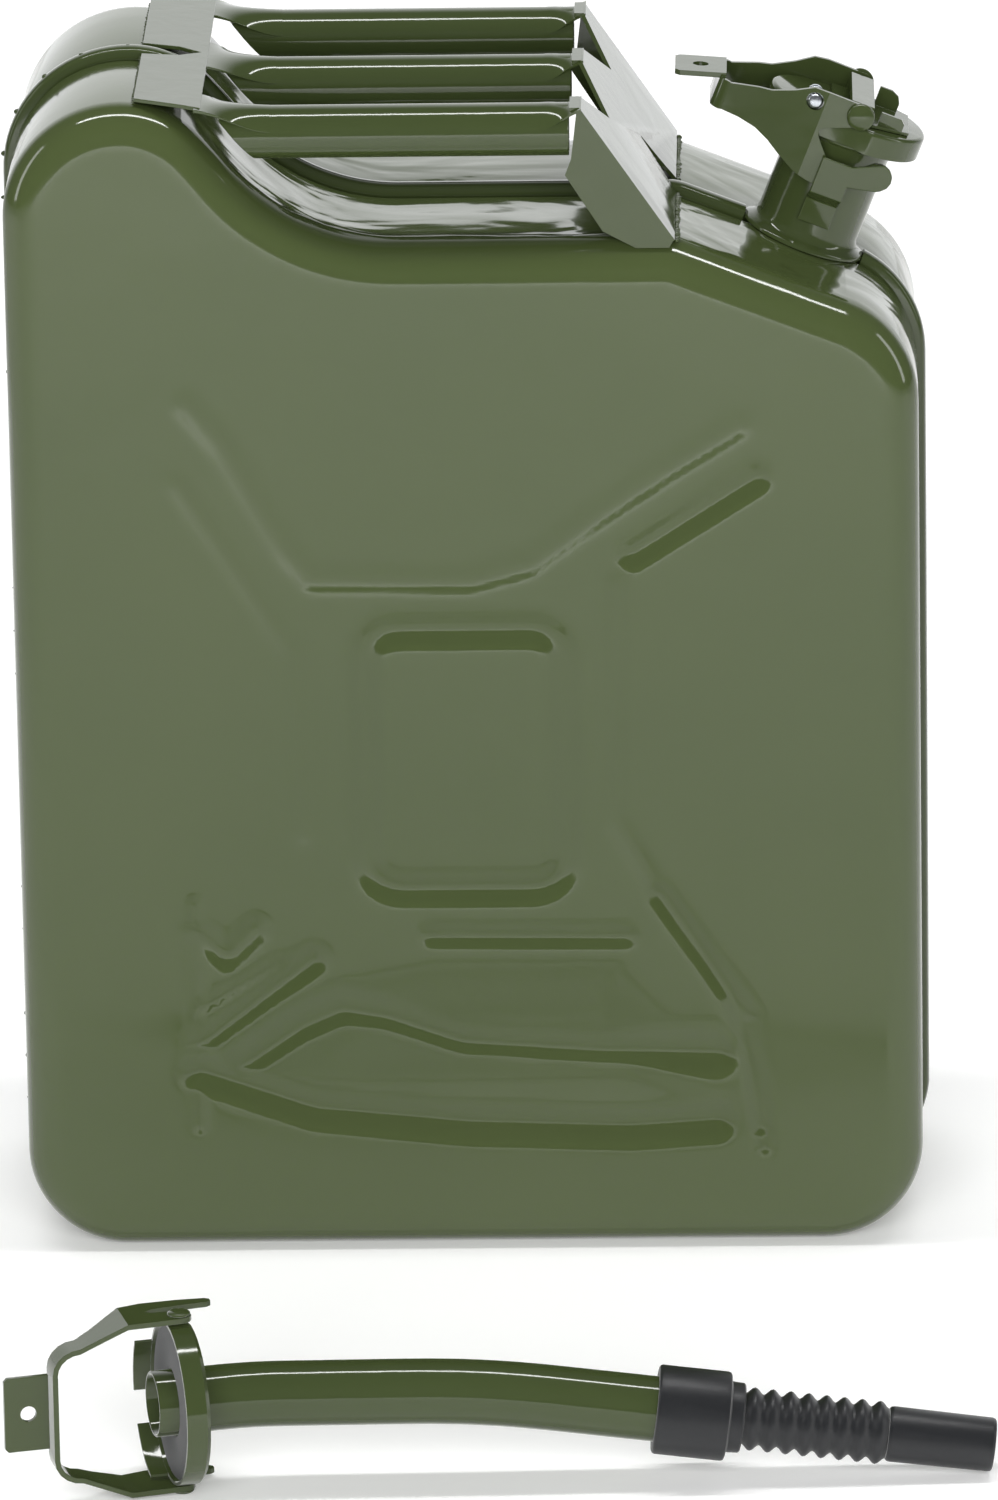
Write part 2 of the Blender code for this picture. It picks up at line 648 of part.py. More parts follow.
def lid_outline(inset):
    """Plan of the lid: round at the pouring side, narrower where it passes between the arms."""
    narrow = 22.6 - inset
    points = arc((3.0, 0), 26.4 - inset, -80, 80, 14)
    points += [(1.2 + inset, narrow)]
    points += arc((-10, 0), narrow, 90, 270, 12)
    points += [(1.2 + inset, -narrow)]
    return scaled(points)


def lid_cap():
    """Pressed lid: flat top, rounded edge and skirt, with a nose that hangs past the neck's lip."""
    bottom = LID_TOP - LID_SKIRT
    levels = [(0.0, bottom), (0.0, LID_TOP - 1.5 * MM), (1.5, LID_TOP)]
    inner = [(2.4, LID_TOP - LID_SHEET), (1.2, LID_TOP - 2.2 * MM), (1.2, bottom)]
    skin = bmesh.new()
    loops = [[skin.verts.new((x, y, z)) for x, y in lid_outline(inset)] for inset, z in levels + inner]
    count = len(loops[0])
    order = [loops[2], loops[1], loops[0], loops[5], loops[4], loops[3]]
    for first, second in zip(order, order[1:]):
        for i in range(count):
            j = (i + 1) % count
            skin.faces.new((first[i], first[j], second[j], second[i]))
    skin.faces.new(loops[2])
    skin.faces.new(loops[3])
    lid = add_object("lid_cap", skin, GREEN, lid_pivot, LID_PIVOT)
    nose = prism(scaled([(-32.5, 46.5), (-31.4, 46.5), (-30.2, 39.5), (-27.6, 36.6), (-28.6, 35.6),
                         (-31.6, 38.8)]), -8 * MM, 8 * MM)
    boolean(lid, add_tool("lid_nose_tool", nose, lid_pivot, LID_PIVOT), "UNION")
    return lid


lid_cap()

gasket = turned(scaled([(20.2, 45.4), (20.2, 52.0), (12, 52.0), (12, 46.3), (14, 45.4)]), 28)
add_object("lid_gasket", gasket, RUBBER, lid_pivot, LID_PIVOT)


def lid_bridge():
    """Saddle on the lid that carries the two rivets, with two stop ears at the pouring side."""
    foot = LID_TOP + GAP
    plate_top = foot + 1.1 * MM
    plan = scaled([(-9, -20.4), (6.5, -20.4), (22, -13), (22, 13), (6.5, 20.4), (-9, 20.4)])
    bridge = add_object("lid_bridge", prism(plan, foot, plate_top, along="Z"), GREEN, lid_pivot, LID_PIVOT)
    outer = [(-22.3, 54.2), (-22.3, 59.5), (-20.6, 61.6), (20.6, 61.6), (22.3, 59.5), (22.3, 54.2),
             (20.1, 54.2), (20.1, 59.2), (-20.1, 59.2), (-20.1, 54.2)]
    arch = bmesh.new()
    rings = [[arch.verts.new((x * MM, y * MM, z * MM)) for y, z in outer] for x in (-3.4, 5.6)]
    for i in range(len(outer)):
        j = (i + 1) % len(outer)
        arch.faces.new((rings[0][i], rings[0][j], rings[1][j], rings[1][i]))
    arch.faces.new(rings[0])
    arch.faces.new(rings[1])
    boolean(bridge, add_tool("bridge_arch_tool", arch, lid_pivot, LID_PIVOT), "UNION")
    far_ear = scaled([(8, 54.2), (17, 54.2), (17, 58.5), (15.8, 61), (13, 62.4), (8, 62.4)])
    near_ear = scaled([(9.5, 54.2), (19, 54.2), (19, 57.8), (17.5, 59.4), (9.5, 59.4)])
    for tag, shape, low in (("rear", far_ear, 11.0), ("front", near_ear, -14.6)):
        ear = prism(shape, low * MM, (low + 1.6) * MM)
        boolean(bridge, add_tool(f"bridge_ear_{tag}_tool", ear, lid_pivot, LID_PIVOT), "UNION")
    drill = turned_y([(0, -reach), (2.2 * MM, -reach), (2.2 * MM, reach), (0, reach)], 16, LID_PIVOT)
    boolean(bridge, add_tool("bridge_drill_tool", drill, lid_pivot, LID_PIVOT), "DIFFERENCE")
    return bridge


lid_bridge()


def rivet(name, side, centre, head, shank, parent, pivot, material=GREEN):
    """A domed rivet: head outside the arm, shank through it. head and shank are (radius, from, to)."""
    radius, start, stop = head
    dome = [(radius, start), (radius, start + (stop - start) * 0.45), (radius * 0.72, start + (stop - start) * 0.85),
            (0, stop)]
    profile = [(0, shank[1]), (shank[0], shank[1]), (shank[0], start)] + dome
    body = turned_y(scaled(profile), 16)
    if side < 0:
        bmesh.ops.scale(body, vec=(1, -1, 1), verts=body.verts)
    bmesh.ops.translate(body, vec=centre, verts=body.verts)
    return add_object(name, body, material, parent, pivot)


for tag, side in (("front", -1), ("rear", 1)):
    rivet(f"lid_rivet_{tag}", side, LID_PIVOT, (4.6, 25.5, 28.0), (1.95, 18.6), lid_pivot, LID_PIVOT)


# ---------------------------------------------------------------- safety pin of the closure

pin_pivot = frame_empty("lock_pin_slide", LOCK_PIN - LEVER_PIVOT, parent=lever_pivot)
pin_profile = scaled([(0, -25.0), (2.5, -24.6), (3.0, -23.6), (3.0, -20.4), (2.0, -20.4), (2.0, -11), (2.9, -11), (2.9, -9.6), (0, -9.6)])
add_object("lock_pin", turned_y(pin_profile, 16, LOCK_PIN), ZINC, pin_pivot, LOCK_PIN)


def lock_spring():
    """The light coil that pushes the pin outwards, round its shank."""
    turns = 2
    steps = 10
    coil = 2.8 * MM
    wire = 0.4 * MM
    start, stop = -16.7 * MM, -12.0 * MM
    rings = []
    total = turns * steps
    for k in range(total + 1):
        a = 2 * math.pi * k / steps
        centre = Vector((coil * math.cos(a), start + (stop - start) * k / total, coil * math.sin(a)))
        radial = Vector((math.cos(a), 0, math.sin(a)))
        ring = []
        for j in range(5):
            b = 2 * math.pi * j / 5
            ring.append(centre + radial * wire * math.cos(b) + Vector((0, wire * math.sin(b), 0)))
        rings.append(ring)
    skin = ring_loft(rings, closed=False)
    bmesh.ops.translate(skin, vec=LOCK_PIN, verts=skin.verts)
    return add_object("lock_spring", skin, SPRING_STEEL, lever_pivot, LEVER_PIVOT)


lock_spring()


# ---------------------------------------------------------------- spout

def ease(value):
    value = min(1.0, max(0.0, value))
    return value * value * (3 - 2 * value)


def spout_heading(s):
    """Direction of the spout's centre line at the station s metres from the cup's back face."""
    yaw = CUP_YAW + (TUBE_YAW - CUP_YAW) * ease((s - 4 * MM) / (34 * MM))
    pitch = -TUBE_DROP * ease((s - 70 * MM) / (70 * MM))
    flat = math.cos(pitch)
    return Vector((math.cos(yaw) * flat, math.sin(yaw) * flat, math.sin(pitch)))


STEP = 1 * MM


def spout_point(s):
    """Centre line position, walked from the cup's back face in one millimetre steps."""
    place = SPOUT_MOUTH.copy()
    walked = 0.0
    while walked < s - 1e-9:
        stride = min(STEP, s - walked)
        place += spout_heading(walked + stride / 2) * stride
        walked += stride
    return place


def spout_ring(s, radius, sides):
    centre = spout_point(s)
    forward = spout_heading(s)
    across = Vector((-forward.y, forward.x, 0)).normalized()
    up = forward.cross(-across).normalized()
    ring = []
    for k in range(sides):
        a = 2 * math.pi * k / sides
        ring.append(centre + across * radius * math.cos(a) + up * radius * math.sin(a))
    return ring


def spout_tube(name, path, sides, material):
    """Skin a closed list of (station, radius) round the centre line."""
    rings = [spout_ring(s, radius, sides) for s, radius in path]
    return add_object(name, ring_loft(rings), material)


cup_frame = frame_empty("spout_cup_frame", SPOUT_MOUTH, (0, 0, CUP_YAW))


def in_cup_frame(skin):
    """Turn a shape made about Z so that its axis runs along the cup, mouth towards -X."""
    bmesh.ops.transform(skin, matrix=Matrix.Rotation(math.radians(90), 4, "Y"), verts=skin.verts)
    return skin


cup_profile = scaled([(30.5, -9), (30.5, -1.5), (29, 0), (12.4, 0), (12.4, -1.5), (28, -1.5), (29.3, -2.6), (29.3, -9)])
cup = add_object("spout_cup", in_cup_frame(turned(cup_profile, 36)), GREEN, cup_frame)
for i, (start, stop) in enumerate(((80, 120), (8, 56))):
    claw_outer = arc((0, 0), 30.4, start, stop, 5)
    claw_inner = arc((0, 0), 29.4, stop, start, 5)
    claw = prism(scaled(claw_outer + claw_inner), -15.5 * MM, -8.5 * MM, along="Z")
    boolean(cup, add_tool(f"cup_claw_tool_{i}", in_cup_frame(claw), cup_frame), "UNION")

spout_seal = turned(scaled([(28.8, -8), (28.8, -3.2), (27.2, -1.9), (12.7, -1.9), (12.7, -8)]), 28)
add_object("spout_gasket", in_cup_frame(spout_seal), RUBBER, cup_frame)
nipple = turned(scaled([(12.1, -15), (12.1, 1.5), (10.9, 1.5), (10.9, -15)]), 20)
add_object("spout_nipple", in_cup_frame(nipple), GREEN, cup_frame)

tube_stations = [0.002 + 0.0091 * k for k in range(20)]
tube_path = [(s, TUBE_RADIUS) for s in tube_stations] + [(s, TUBE_BORE) for s in reversed(tube_stations)]
tube_end = tube_stations[-1]
spout_tube("spout_tube", tube_path, 16, GREEN)

vent_stations = [0.002 + 0.032 * k for k in range(6)]


def vent_tube():
    """The thin air tube that runs inside the spout, along its upper wall."""
    rings = []
    for radius, stations in ((2.4 * MM, vent_stations), (1.6 * MM, vent_stations[::-1])):
        for s in stations:
            forward = spout_heading(s)
            across = Vector((-forward.y, forward.x, 0)).normalized()
            up = forward.cross(-across).normalized()
            centre = spout_point(s) + up * 7.6 * MM
            ring = []
            for k in range(8):
                a = 2 * math.pi * k / 8
                ring.append(centre + across * radius * math.cos(a) + up * radius * math.sin(a))
            rings.append(ring)
    return add_object("spout_vent_tube", ring_loft(rings), ZINC)


vent_tube()

collar_path = [(COLLAR[0], 12.3), (COLLAR[0], 15.2), (COLLAR[0] + 2 * MM, 16.4), (COLLAR[1] - 7 * MM, 16.4),
               (COLLAR[1] - 5.5 * MM, 13.0), (COLLAR[1], 12.6), (COLLAR[1], 8.4), (tube_end + 1.5 * MM, 8.4),
               (tube_end + 1.5 * MM, 12.3)]
spout_tube("nozzle_collar", [(s, radius * MM) for s, radius in collar_path], 20, PLASTIC)


def bellows():
    """Ribbed flexible sleeve: eight ridges outside, a plain bore inside."""
    start, stop = BELLOWS
    pitch = (stop - start) / RIDGES
    path = [(start, 9.2 * MM)]
    for k in range(RIDGES):
        path.append((start + (k + 0.3) * pitch, 11.6 * MM))
        path.append((start + (k + 0.62) * pitch, 11.6 * MM))
        if k < RIDGES - 1:
            path.append((start + (k + 0.96) * pitch, 9.4 * MM))
    path += [(stop, 9.4 * MM), (stop, 7.4 * MM), ((start + stop) / 2, 7.4 * MM), (start, 7.4 * MM)]
    return spout_tube("nozzle_bellows", path, 14, PLASTIC)


bellows()
tip_start = BELLOWS[1] + GAP
tip_path = [(tip_start, 9.4), (tip_start + 2 * MM, 10.2), (NOZZLE_END - 2 * MM, 9.9), (NOZZLE_END, 9.2),
            (NOZZLE_END, 7.4), (tip_start, 7.4)]
spout_tube("nozzle_tip", [(s, radius * MM) for s, radius in tip_path], 20, PLASTIC)

# The spout's own lever. In this frame x runs along the cup, y points down and z away from the front.
spout_lever_frame = frame_empty("spout_lever_pivot", (-4.5 * MM, 0, 0), (math.radians(-90), 0, 0), cup_frame)
spout_arm = scaled([(-38, 5.4), (-32, 7.4), (-26, 10.6), (-20, 13.6), (-11, 15.6), (2, 15.6), (12, 14.6)]
                   + arc((12.4, 12.3), 2.3, 80, -80, 3)
                   + [(2, 9.4), (-8, 8.2), (-11.2, 6.8), (-9.6, 5.2)]
                   + arc((0, 0), 4.6, 100, -100, 7)
                   + [(-9, -5.0), (-20, -5.4), (-30, -5.2), (-38, -5.2)])
spout_fold = (3, len(spout_arm) - 3)
spout_tab = scaled([(1.4, -14.3), (1.4, 14.3), (-16.2, 14.3), (-17.5, 13.0), (-17.5, -13.0), (-16.2, -14.3)])
cam_lever("spout_lever", spout_arm, spout_fold, -47.5 * MM, (32.6 * MM, 25 * MM), (-5.2 * MM, 5.4 * MM),
          (spout_tab, 4.1 * MM, 0.0), [(0, 0, 2.3 * MM, -40 * MM, 40 * MM)], spout_lever_frame, (0, 0, 0))
for tag, side in (("lower", 1), ("upper", -1)):
    rivet(f"spout_rivet_{tag}", side, (0, 0, 0), (4.2, 33.9, 35.1), (1.95, 30.8), spout_lever_frame, (0, 0, 0))
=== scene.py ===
"""A 20 litre steel fuel can in olive gloss enamel, with its cam-lever lid shut and its pouring spout beside it."""

import json
import math

import bmesh
import bpy
import numpy as np
from mathutils import Matrix, Vector
from mathutils.geometry import delaunay_2d_cdt

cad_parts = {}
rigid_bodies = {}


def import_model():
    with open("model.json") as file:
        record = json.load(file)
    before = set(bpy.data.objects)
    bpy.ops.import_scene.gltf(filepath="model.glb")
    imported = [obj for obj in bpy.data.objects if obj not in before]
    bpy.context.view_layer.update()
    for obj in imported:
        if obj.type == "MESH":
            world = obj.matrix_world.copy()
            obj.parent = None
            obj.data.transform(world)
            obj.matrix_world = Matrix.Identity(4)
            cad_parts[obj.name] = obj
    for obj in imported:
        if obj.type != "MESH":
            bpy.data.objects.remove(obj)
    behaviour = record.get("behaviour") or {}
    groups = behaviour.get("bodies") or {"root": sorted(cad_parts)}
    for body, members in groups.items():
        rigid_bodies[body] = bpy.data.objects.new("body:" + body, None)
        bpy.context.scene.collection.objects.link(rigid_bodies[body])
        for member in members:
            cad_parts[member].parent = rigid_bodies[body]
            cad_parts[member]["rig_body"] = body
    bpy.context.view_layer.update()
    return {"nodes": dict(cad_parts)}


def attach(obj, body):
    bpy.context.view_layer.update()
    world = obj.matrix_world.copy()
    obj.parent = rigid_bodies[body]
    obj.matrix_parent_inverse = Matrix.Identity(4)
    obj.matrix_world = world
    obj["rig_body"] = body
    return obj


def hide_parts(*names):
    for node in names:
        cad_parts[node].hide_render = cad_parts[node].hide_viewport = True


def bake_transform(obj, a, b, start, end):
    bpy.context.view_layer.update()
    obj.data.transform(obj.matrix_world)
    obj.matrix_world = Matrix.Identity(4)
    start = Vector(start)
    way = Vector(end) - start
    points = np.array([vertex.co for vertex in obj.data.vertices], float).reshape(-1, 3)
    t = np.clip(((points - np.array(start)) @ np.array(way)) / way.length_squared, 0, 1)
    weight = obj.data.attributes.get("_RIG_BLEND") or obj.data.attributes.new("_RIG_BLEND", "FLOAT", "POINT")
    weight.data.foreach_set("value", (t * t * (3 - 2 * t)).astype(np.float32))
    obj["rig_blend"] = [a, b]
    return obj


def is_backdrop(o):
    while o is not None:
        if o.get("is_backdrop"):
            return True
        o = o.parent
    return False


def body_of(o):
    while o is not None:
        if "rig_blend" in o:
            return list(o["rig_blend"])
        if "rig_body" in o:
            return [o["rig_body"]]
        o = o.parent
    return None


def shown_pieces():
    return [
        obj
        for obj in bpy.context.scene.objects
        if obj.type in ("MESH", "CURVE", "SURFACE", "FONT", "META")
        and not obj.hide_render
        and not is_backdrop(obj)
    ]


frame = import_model()
MM = 0.001

# ------------------------------------------------------------------ studio
# A plain white table under a long lens. The gloss mirrors a pale wall behind and a strip softbox overhead;
# softboxes in front and behind that it doesn't mirror fill the shadows.

bpy.context.scene.view_settings.view_transform = "Standard"

CAMERA_AZIMUTH = math.radians(1.38)
CAMERA_HEIGHT = math.radians(18.0)
CAMERA_ROLL = math.radians(-0.95)
CAMERA_DISTANCE = 5.0
CAMERA_TARGET = Vector((0.0098, 0, 0.1742))

towards = Vector((math.sin(CAMERA_AZIMUTH) * math.cos(CAMERA_HEIGHT),
                  -math.cos(CAMERA_AZIMUTH) * math.cos(CAMERA_HEIGHT), math.sin(CAMERA_HEIGHT)))
level = Vector((math.cos(CAMERA_AZIMUTH), math.sin(CAMERA_AZIMUTH), 0))
upright = towards.cross(level)
right = level * math.cos(CAMERA_ROLL) + upright * math.sin(CAMERA_ROLL)
above = upright * math.cos(CAMERA_ROLL) - level * math.sin(CAMERA_ROLL)
camera = bpy.data.objects.new("camera", bpy.data.cameras.new("camera"))
camera.data.sensor_fit = "VERTICAL"
camera.data.sensor_height = 36
camera.data.lens = 311.4
camera.data.clip_end = 60
camera.matrix_world = Matrix.Translation(CAMERA_TARGET + towards * CAMERA_DISTANCE) @ Matrix(
    (right, above, towards)).transposed().to_4x4()
bpy.context.collection.objects.link(camera)
bpy.context.scene.camera = camera


def srgb(code):
    """An sRGB hex colour as linear RGBA."""
    values = [int(code[i:i + 2], 16) / 255 for i in (1, 3, 5)]
    return (*[v / 12.92 if v <= 0.04045 else ((v + 0.055) / 1.055) ** 2.4 for v in values], 1.0)


def add_node(tree, kind, settings=None, inputs=None):
    """Add a node, set its properties, and set or link its inputs."""
    node = tree.nodes.new(kind)
    for name, value in (settings or {}).items():
        setattr(node, name, value)
    for key, value in (inputs or {}).items():
        if isinstance(value, bpy.types.NodeSocket):
            tree.links.new(value, node.inputs[key])
        else:
            node.inputs[key].default_value = value
    return node


def new_material(name):
    """An empty Principled material: the material, its tree and its shader."""
    material = bpy.data.materials.new(name)
    material.use_nodes = True
    return material, material.node_tree, material.node_tree.nodes["Principled BSDF"]


# Matt white table top: faint cloudiness from wiping, no pattern.
table_white, tree, shader = new_material("white_table")
place = add_node(tree, "ShaderNodeTexCoord").outputs["Object"]
cloud = add_node(tree, "ShaderNodeTexNoise", inputs={"Vector": place, "Scale": 3.0, "Detail": 3.0})
tone = add_node(tree, "ShaderNodeMix", {"data_type": "RGBA"},
                {"Factor": cloud.outputs["Fac"], 6: srgb("#F4F4F3"), 7: srgb("#F8F8F8")})
tree.links.new(tone.outputs[2], shader.inputs["Base Color"])
shader.inputs["Emission Color"].default_value = (1, 1, 1, 1)
shader.inputs["Emission Strength"].default_value = 0.14
shader.inputs["Roughness"].default_value = 0.7
shader.inputs["Specular IOR Level"].default_value = 0.2

table = bpy.data.meshes.new("table")
table.from_pydata([(-4, -6.5, 0), (4, -6.5, 0), (4, 3.2, 0), (-4, 3.2, 0)], [], [(0, 1, 2, 3)])
table.materials.append(table_white)
table_top = bpy.data.objects.new("table", table)
bpy.context.collection.objects.link(table_top)
table_top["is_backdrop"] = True

room = bpy.data.worlds.new("room")
room.use_nodes = True
way = add_node(room.node_tree, "ShaderNodeTexCoord").outputs["Generated"]
axes = add_node(room.node_tree, "ShaderNodeSeparateXYZ", inputs={"Vector": way})
glow = add_node(room.node_tree, "ShaderNodeMapRange", {"interpolation_type": "SMOOTHSTEP"},
                {"Value": axes.outputs["Y"], "From Min": 0.5, "From Max": 0.93, "To Min": 0.14, "To Max": 1.45})
backdrop = room.node_tree.nodes["Background"]
backdrop.inputs["Color"].default_value = (0.98, 0.99, 1.0, 1)
room.node_tree.links.new(glow.outputs["Result"], backdrop.inputs["Strength"])
bpy.context.scene.world = room


def softbox(name, place, aim, size, power, mirrored=True):
    """A rectangular softbox at place, facing aim. mirrored says whether gloss shows it."""
    lamp = bpy.data.lights.new(name, "AREA")
    lamp.shape = "RECTANGLE"
    lamp.size, lamp.size_y = size
    lamp.energy = power
    box = bpy.data.objects.new(name, lamp)
    box.location = place
    box.rotation_euler = (Vector(aim) - Vector(place)).to_track_quat("-Z", "Y").to_euler()
    box.visible_glossy = mirrored
    bpy.context.collection.objects.link(box)


softbox("softbox_over", (0.0, -0.1, 2.1), (0, 0, 0.3), (2.2, 0.15), 22)
softbox("softbox_front", (0.0, -3.0, 1.2), (0, 0, 0.2), (2.5, 1.6), 105, mirrored=False)
softbox("softbox_back", (0.0, 2.6, 1.7), (0, 1.7, 0), (3.2, 1.4), 38, mirrored=False)
softbox("softbox_left", (-2.2, -0.2, 1.0), (0, 0, 0.25), (0.3, 1.4), 6)
softbox("softbox_right", (2.2, -0.2, 1.0), (0, 0, 0.25), (0.3, 1.4), 6)


# ------------------------------------------------------------------ the paint
# Olive gloss enamel, sprayed on pressed steel and stoved. It reflects the room sharply, with a slight
# orange peel, and the thin sheet under it is never quite flat, so its reflections waver.

def olive_enamel(name, shades, wave_depth, wave_size, gloss):
    """gloss is the roughness; wave_depth and wave_size are the sheet's unevenness in metres."""
    material, tree, shader = new_material(name)
    place = add_node(tree, "ShaderNodeTexCoord").outputs["Object"]
    drift = add_node(tree, "ShaderNodeTexNoise", inputs={"Vector": place, "Scale": 7.0, "Detail": 2.0})
    tone = add_node(tree, "ShaderNodeMix", {"data_type": "RGBA"},
                    {"Factor": drift.outputs["Fac"], 6: srgb(shades[0]), 7: srgb(shades[1])})
    tree.links.new(tone.outputs[2], shader.inputs["Base Color"])
    haze = add_node(tree, "ShaderNodeTexNoise", inputs={"Vector": place, "Scale": 35.0, "Detail": 3.0})
    rough = add_node(tree, "ShaderNodeMapRange",
                     inputs={"Value": haze.outputs["Fac"], "To Min": gloss * 0.8, "To Max": gloss * 1.3})
    tree.links.new(rough.outputs["Result"], shader.inputs["Roughness"])
    # Orange peel: dimples 2.5 mm apart, a few micrometres deep.
    peel = add_node(tree, "ShaderNodeTexNoise", inputs={"Vector": place, "Scale": 400.0, "Detail": 1.0})
    first = add_node(tree, "ShaderNodeBump",
                     inputs={"Height": peel.outputs["Fac"], "Strength": 1.0, "Distance": 0.000012})
    wave = add_node(tree, "ShaderNodeTexNoise",
                    inputs={"Vector": place, "Scale": 1 / wave_size, "Detail": 1.5, "Distortion": 0.3})
    second = add_node(tree, "ShaderNodeBump",
                      inputs={"Height": wave.outputs["Fac"], "Strength": 1.0, "Distance": wave_depth,
                              "Normal": first.outputs["Normal"]})
    # The drawn top, inboard of the edge radii and below the shoulder, is softly creased lengthwise.
    axes = add_node(tree, "ShaderNodeSeparateXYZ", inputs={"Vector": place})
    depth = add_node(tree, "ShaderNodeMath", {"operation": "ABSOLUTE"}, {0: axes.outputs["Y"]})
    inboard = add_node(tree, "ShaderNodeMapRange", {"interpolation_type": "SMOOTHSTEP"}, {
        "Value": depth.outputs["Value"], "From Min": 0.079, "From Max": 0.062, "To Min": 0.0, "To Max": 1.0})
    low = add_node(tree, "ShaderNodeMapRange", {"interpolation_type": "SMOOTHSTEP"}, {
        "Value": axes.outputs["Z"], "From Min": 0.446, "From Max": 0.412, "To Min": 0.0, "To Max": 1.0})
    high = add_node(tree, "ShaderNodeMapRange", {"interpolation_type": "SMOOTHSTEP"}, {
        "Value": axes.outputs["Z"], "From Min": 0.32, "From Max": 0.37, "To Min": 0.0, "To Max": 1.0})
    band = add_node(tree, "ShaderNodeMath", {"operation": "MULTIPLY"},
                    {0: low.outputs["Result"], 1: high.outputs["Result"]})
    where = add_node(tree, "ShaderNodeMath", {"operation": "MULTIPLY"},
                     {0: inboard.outputs["Result"], 1: band.outputs["Value"]})
    drawn = add_node(tree, "ShaderNodeMapping", inputs={"Vector": place, "Scale": (0.5, 1.0, 1.0)})
    crease = add_node(tree, "ShaderNodeTexNoise",
                      inputs={"Vector": drawn.outputs["Vector"], "Scale": 24.0, "Detail": 2.5, "Distortion": 0.5})
    creased = add_node(tree, "ShaderNodeMath", {"operation": "MULTIPLY"},
                       {0: crease.outputs["Fac"], 1: where.outputs["Value"]})
    third = add_node(tree, "ShaderNodeBump",
                     inputs={"Height": creased.outputs["Value"], "Strength": 1.0, "Distance": wave_depth * 6,
                             "Normal": second.outputs["Normal"]})
    tree.links.new(third.outputs["Normal"], shader.inputs["Normal"])
    shader.inputs["IOR"].default_value = 1.52
    return material


BODY_ENAMEL = olive_enamel("olive_enamel_on_sheet", ("#3B4626", "#424C2B"), 0.0005, 0.055, 0.085)
# The fittings use a copy of the same enamel mixed about a fifth darker than the sheet's. This is painted shade, so
# that the small parts look more shaded than the broad sheet.
SHADED_PART_ENAMEL = olive_enamel("olive_enamel_painted_darker_on_fittings", ("#333D20", "#3A4426"), 0.00008, 0.012, 0.09)


# ------------------------------------------------------------------ the two pressed halves
# Two deep-drawn shells of 1 mm sheet. Each broad face carries a pressed ring, stiffening grooves and a
# dished foot panel, and its edge is rounded 14 mm before it turns in towards the welded seam.

CAN_LENGTH = 350 * MM
CAN_DEPTH = 165 * MM
SHOULDER_Z = 453 * MM
RECESS_Z = 398 * MM
SLOPE_X = 80 * MM
SLOPE = math.radians(21.5)
SEAM_PROUD = 3.5 * MM
SHEET = 1.0 * MM
FACE_RADIUS = 14 * MM
LIP_RADIUS = 4 * MM
SEAM_RECESS = 7 * MM
BASE_CORNER = 38 * MM
LEFT_CORNER = 45 * MM
RIGHT_CORNER = 42 * MM
HUMP_RADIUS = 40 * MM
DIP_RADIUS = 79.6 * MM
DIP_TURN = 50
DIP_X = -24.6 * MM
SLOPE_RADIUS = 20 * MM
SHELL_HALF = CAN_LENGTH / 2 - SEAM_PROUD


def arc(centre, radius, start, end, steps):
    """Points of an arc, ends included, angles in degrees."""
    angles = np.radians(np.linspace(start, end, steps + 1))
    return [(centre[0] + radius * math.cos(a), centre[1] + radius * math.sin(a)) for a in angles]


def side_view():
    """The can's outline, clockwise from the base, as rows of x, z, normal x, normal z."""
    turn = math.degrees(SLOPE)
    right_x = SHELL_HALF - RIGHT_CORNER
    right_z = RECESS_Z - (RIGHT_CORNER + math.sin(SLOPE) * (right_x - SLOPE_X)) / math.cos(SLOPE)
    bend_x = SLOPE_X - SLOPE_RADIUS * math.tan(SLOPE / 2)
    left_x = -SHELL_HALF + LEFT_CORNER
    corner = (-SHELL_HALF + BASE_CORNER, BASE_CORNER)
    stretches = [
        (corner, BASE_CORNER, 270, 180, 20, 1),
        ((left_x, SHOULDER_Z - LEFT_CORNER), LEFT_CORNER, 180, 90, 22, 1),
        ((left_x, SHOULDER_Z - HUMP_RADIUS), HUMP_RADIUS, 90, 90 - DIP_TURN, 14, 1),
        ((DIP_X, RECESS_Z + DIP_RADIUS), DIP_RADIUS, 270 - DIP_TURN, 270, 18, -1),
        ((bend_x, RECESS_Z - SLOPE_RADIUS), SLOPE_RADIUS, 90, 90 - turn, 8, 1),
        ((right_x, right_z), RIGHT_CORNER, 90 - turn, 0, 18, 1),
        ((-corner[0], BASE_CORNER), BASE_CORNER, 0, -90, 20, 1),
    ]
    rows = []
    for centre, radius, start, end, steps, bulge in stretches:
        for x, z in arc(centre, radius, start, end, steps):
            if rows and math.dist(rows[-1][:2], (x, z)) < 0.2 * MM:
                continue
            rows.append((x, z, bulge * (x - centre[0]) / radius, bulge * (z - centre[1]) / radius))
    return np.array(rows)


OUTLINE = side_view()


def around(inset, y):
    """The outline moved inwards, at the depth y."""
    return [Vector((x - nx * inset, y, z - nz * inset)) for x, z, nx, nz in OUTLINE]


